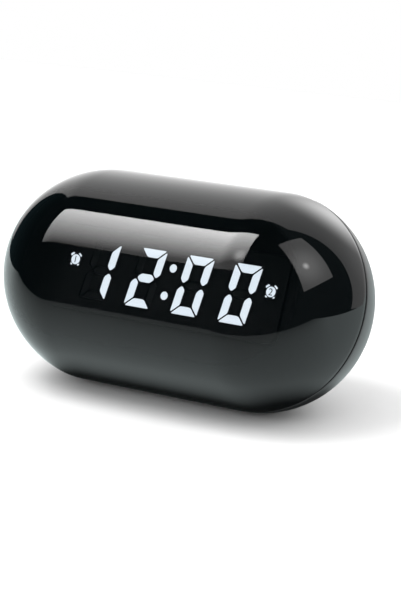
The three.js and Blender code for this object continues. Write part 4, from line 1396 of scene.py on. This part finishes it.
# %% Soft light and small light
SOFT_CORNERS = [(-387, -40, 513), (-22, -49, 624), (-2, -468, 426), (-494, -308, 292)]
SOFT_SPOT = (-70, -300, 500)  # where the lamp shines through the cloth
SMALL_CORNERS = [(149, -53, 417), (184, 102, 375), (384, 114, 178), (414, -130, 161)]
SMALL_SPOT = (304, -22, 262)
soft = Light("soft_light")
fade = soft.ramp("Y", from_seam(0, -345, 0).y, from_seam(0, -60, 0).y, 0.9, 10.5)
side = soft.ramp("X", from_seam(-450, 0, 0).x, from_seam(-250, 0, 0).x, 0.75, 1.35)
far_side = soft.ramp("X", from_seam(-260, 0, 0).x, from_seam(-180, 0, 0).x, 1.0, 0.75)
soft_glow = fade * side * far_side + 5.0 * soft.spot(from_seam(*SOFT_SPOT), 0.09)
stage_piece(
    "soft_light", [from_seam(*c) for c in SOFT_CORNERS], [(0, 1, 2, 3)], soft.shine(soft_glow)
)
small = Light("small_light")
lamp = from_seam(*SMALL_SPOT)
small_glow = 1.3 + 1.4 * small.spot(lamp, 0.16) + 6.0 * small.spot(lamp, 0.028)
stage_piece(
    "small_light", [from_seam(*c) for c in SMALL_CORNERS], [(0, 1, 2, 3)], small.shine(small_glow)
)

# %% [markdown]
# The sweep is part of a cylinder about the clock's length. It is wide near the floor and narrow at
# its top, and it is brightest straight behind the clock, where the rear case mirrors it.

# %% Sweep behind the clock
SWEEP = 700.0
SWEEP_TOP = 75.0  # degrees above the horizon
SWEEP_FOOT = -6.0  # just below the floor, so that no gap shows between them
SWEEP_ROWS = 18
LEFT_REACH, LEFT_TAPER = 2.0, 0.0145  # in radii at the horizon, and less for each degree above
RIGHT_REACH, RIGHT_TAPER = 1.75, 0.0207
CASE_SPOT = (20, 640, 300)  # lights the rear case
sweep_points, sweep_faces = [], []
for i in range(SWEEP_ROWS):
    height = SWEEP_FOOT + (SWEEP_TOP - SWEEP_FOOT) * i / (SWEEP_ROWS - 1)
    rise = math.radians(height)
    left_end = -SWEEP * (LEFT_REACH - LEFT_TAPER * height)
    right_end = SWEEP * (RIGHT_REACH - RIGHT_TAPER * height)
    for x in (left_end, right_end):
        sweep_points.append(from_seam(x, SWEEP * math.cos(rise), SWEEP * math.sin(rise)))
for i in range(SWEEP_ROWS - 1):
    sweep_faces.append((2 * i, 2 * i + 1, 2 * i + 3, 2 * i + 2))
sweep = Light("sweep")
sweep_glow = sweep.ramp("X", -SWEEP * MM, SWEEP * MM, 1.35, 0.7)
sweep_end = sweep.ramp("X", -1.6 * SWEEP * MM, -SWEEP * MM, 0.5, 1.0)
sweep_fade = sweep.ramp("Z", from_seam(0, 0, 0.45 * SWEEP).z, from_seam(0, 0, SWEEP).z, 1.15, 0.8)
sweep_glow = sweep_glow * sweep_end * sweep_fade
sweep_glow = sweep_glow + 2.6 * sweep.spot(from_seam(*CASE_SPOT), 0.34)
stage_piece("sweep", sweep_points, sweep_faces, sweep.shine(sweep_glow))

# %% [markdown]
# The room itself is the world. It is white for what the camera sees and for the soft light that
# falls on everything, and dark for what the dome mirrors.

# %% The room
ROOM_LIGHT = 1.25
ROOM_WHITE = (1.0, 1.0, 1.0)  # for the eye
ROOM_DARK = (0.022, 0.04, 0.046)  # for the dome
world = bpy.data.worlds.new("room")
bpy.context.scene.world = world
world.use_nodes = True
room = Graph(world.node_tree)
room.tree.nodes.clear()
mirrored_ray = room.node("ShaderNodeLightPath", output="Is Glossy Ray")
camera_ray = room.node("ShaderNodeLightPath", output="Is Camera Ray")
around = room.blend(mirrored_ray, (ROOM_LIGHT,) * 3, ROOM_DARK)
seen = room.blend(camera_ray, around, ROOM_WHITE)
background = room.node("ShaderNodeBackground", sockets={"Color": seen})
room.node("ShaderNodeOutputWorld", sockets={"Surface": background})
print("room ready")

# %% [markdown]
# ## Check the size and finish
# The finished clock has to fill the same box as the imported model.

# %% Bring the scene up to date
bpy.context.view_layer.update()
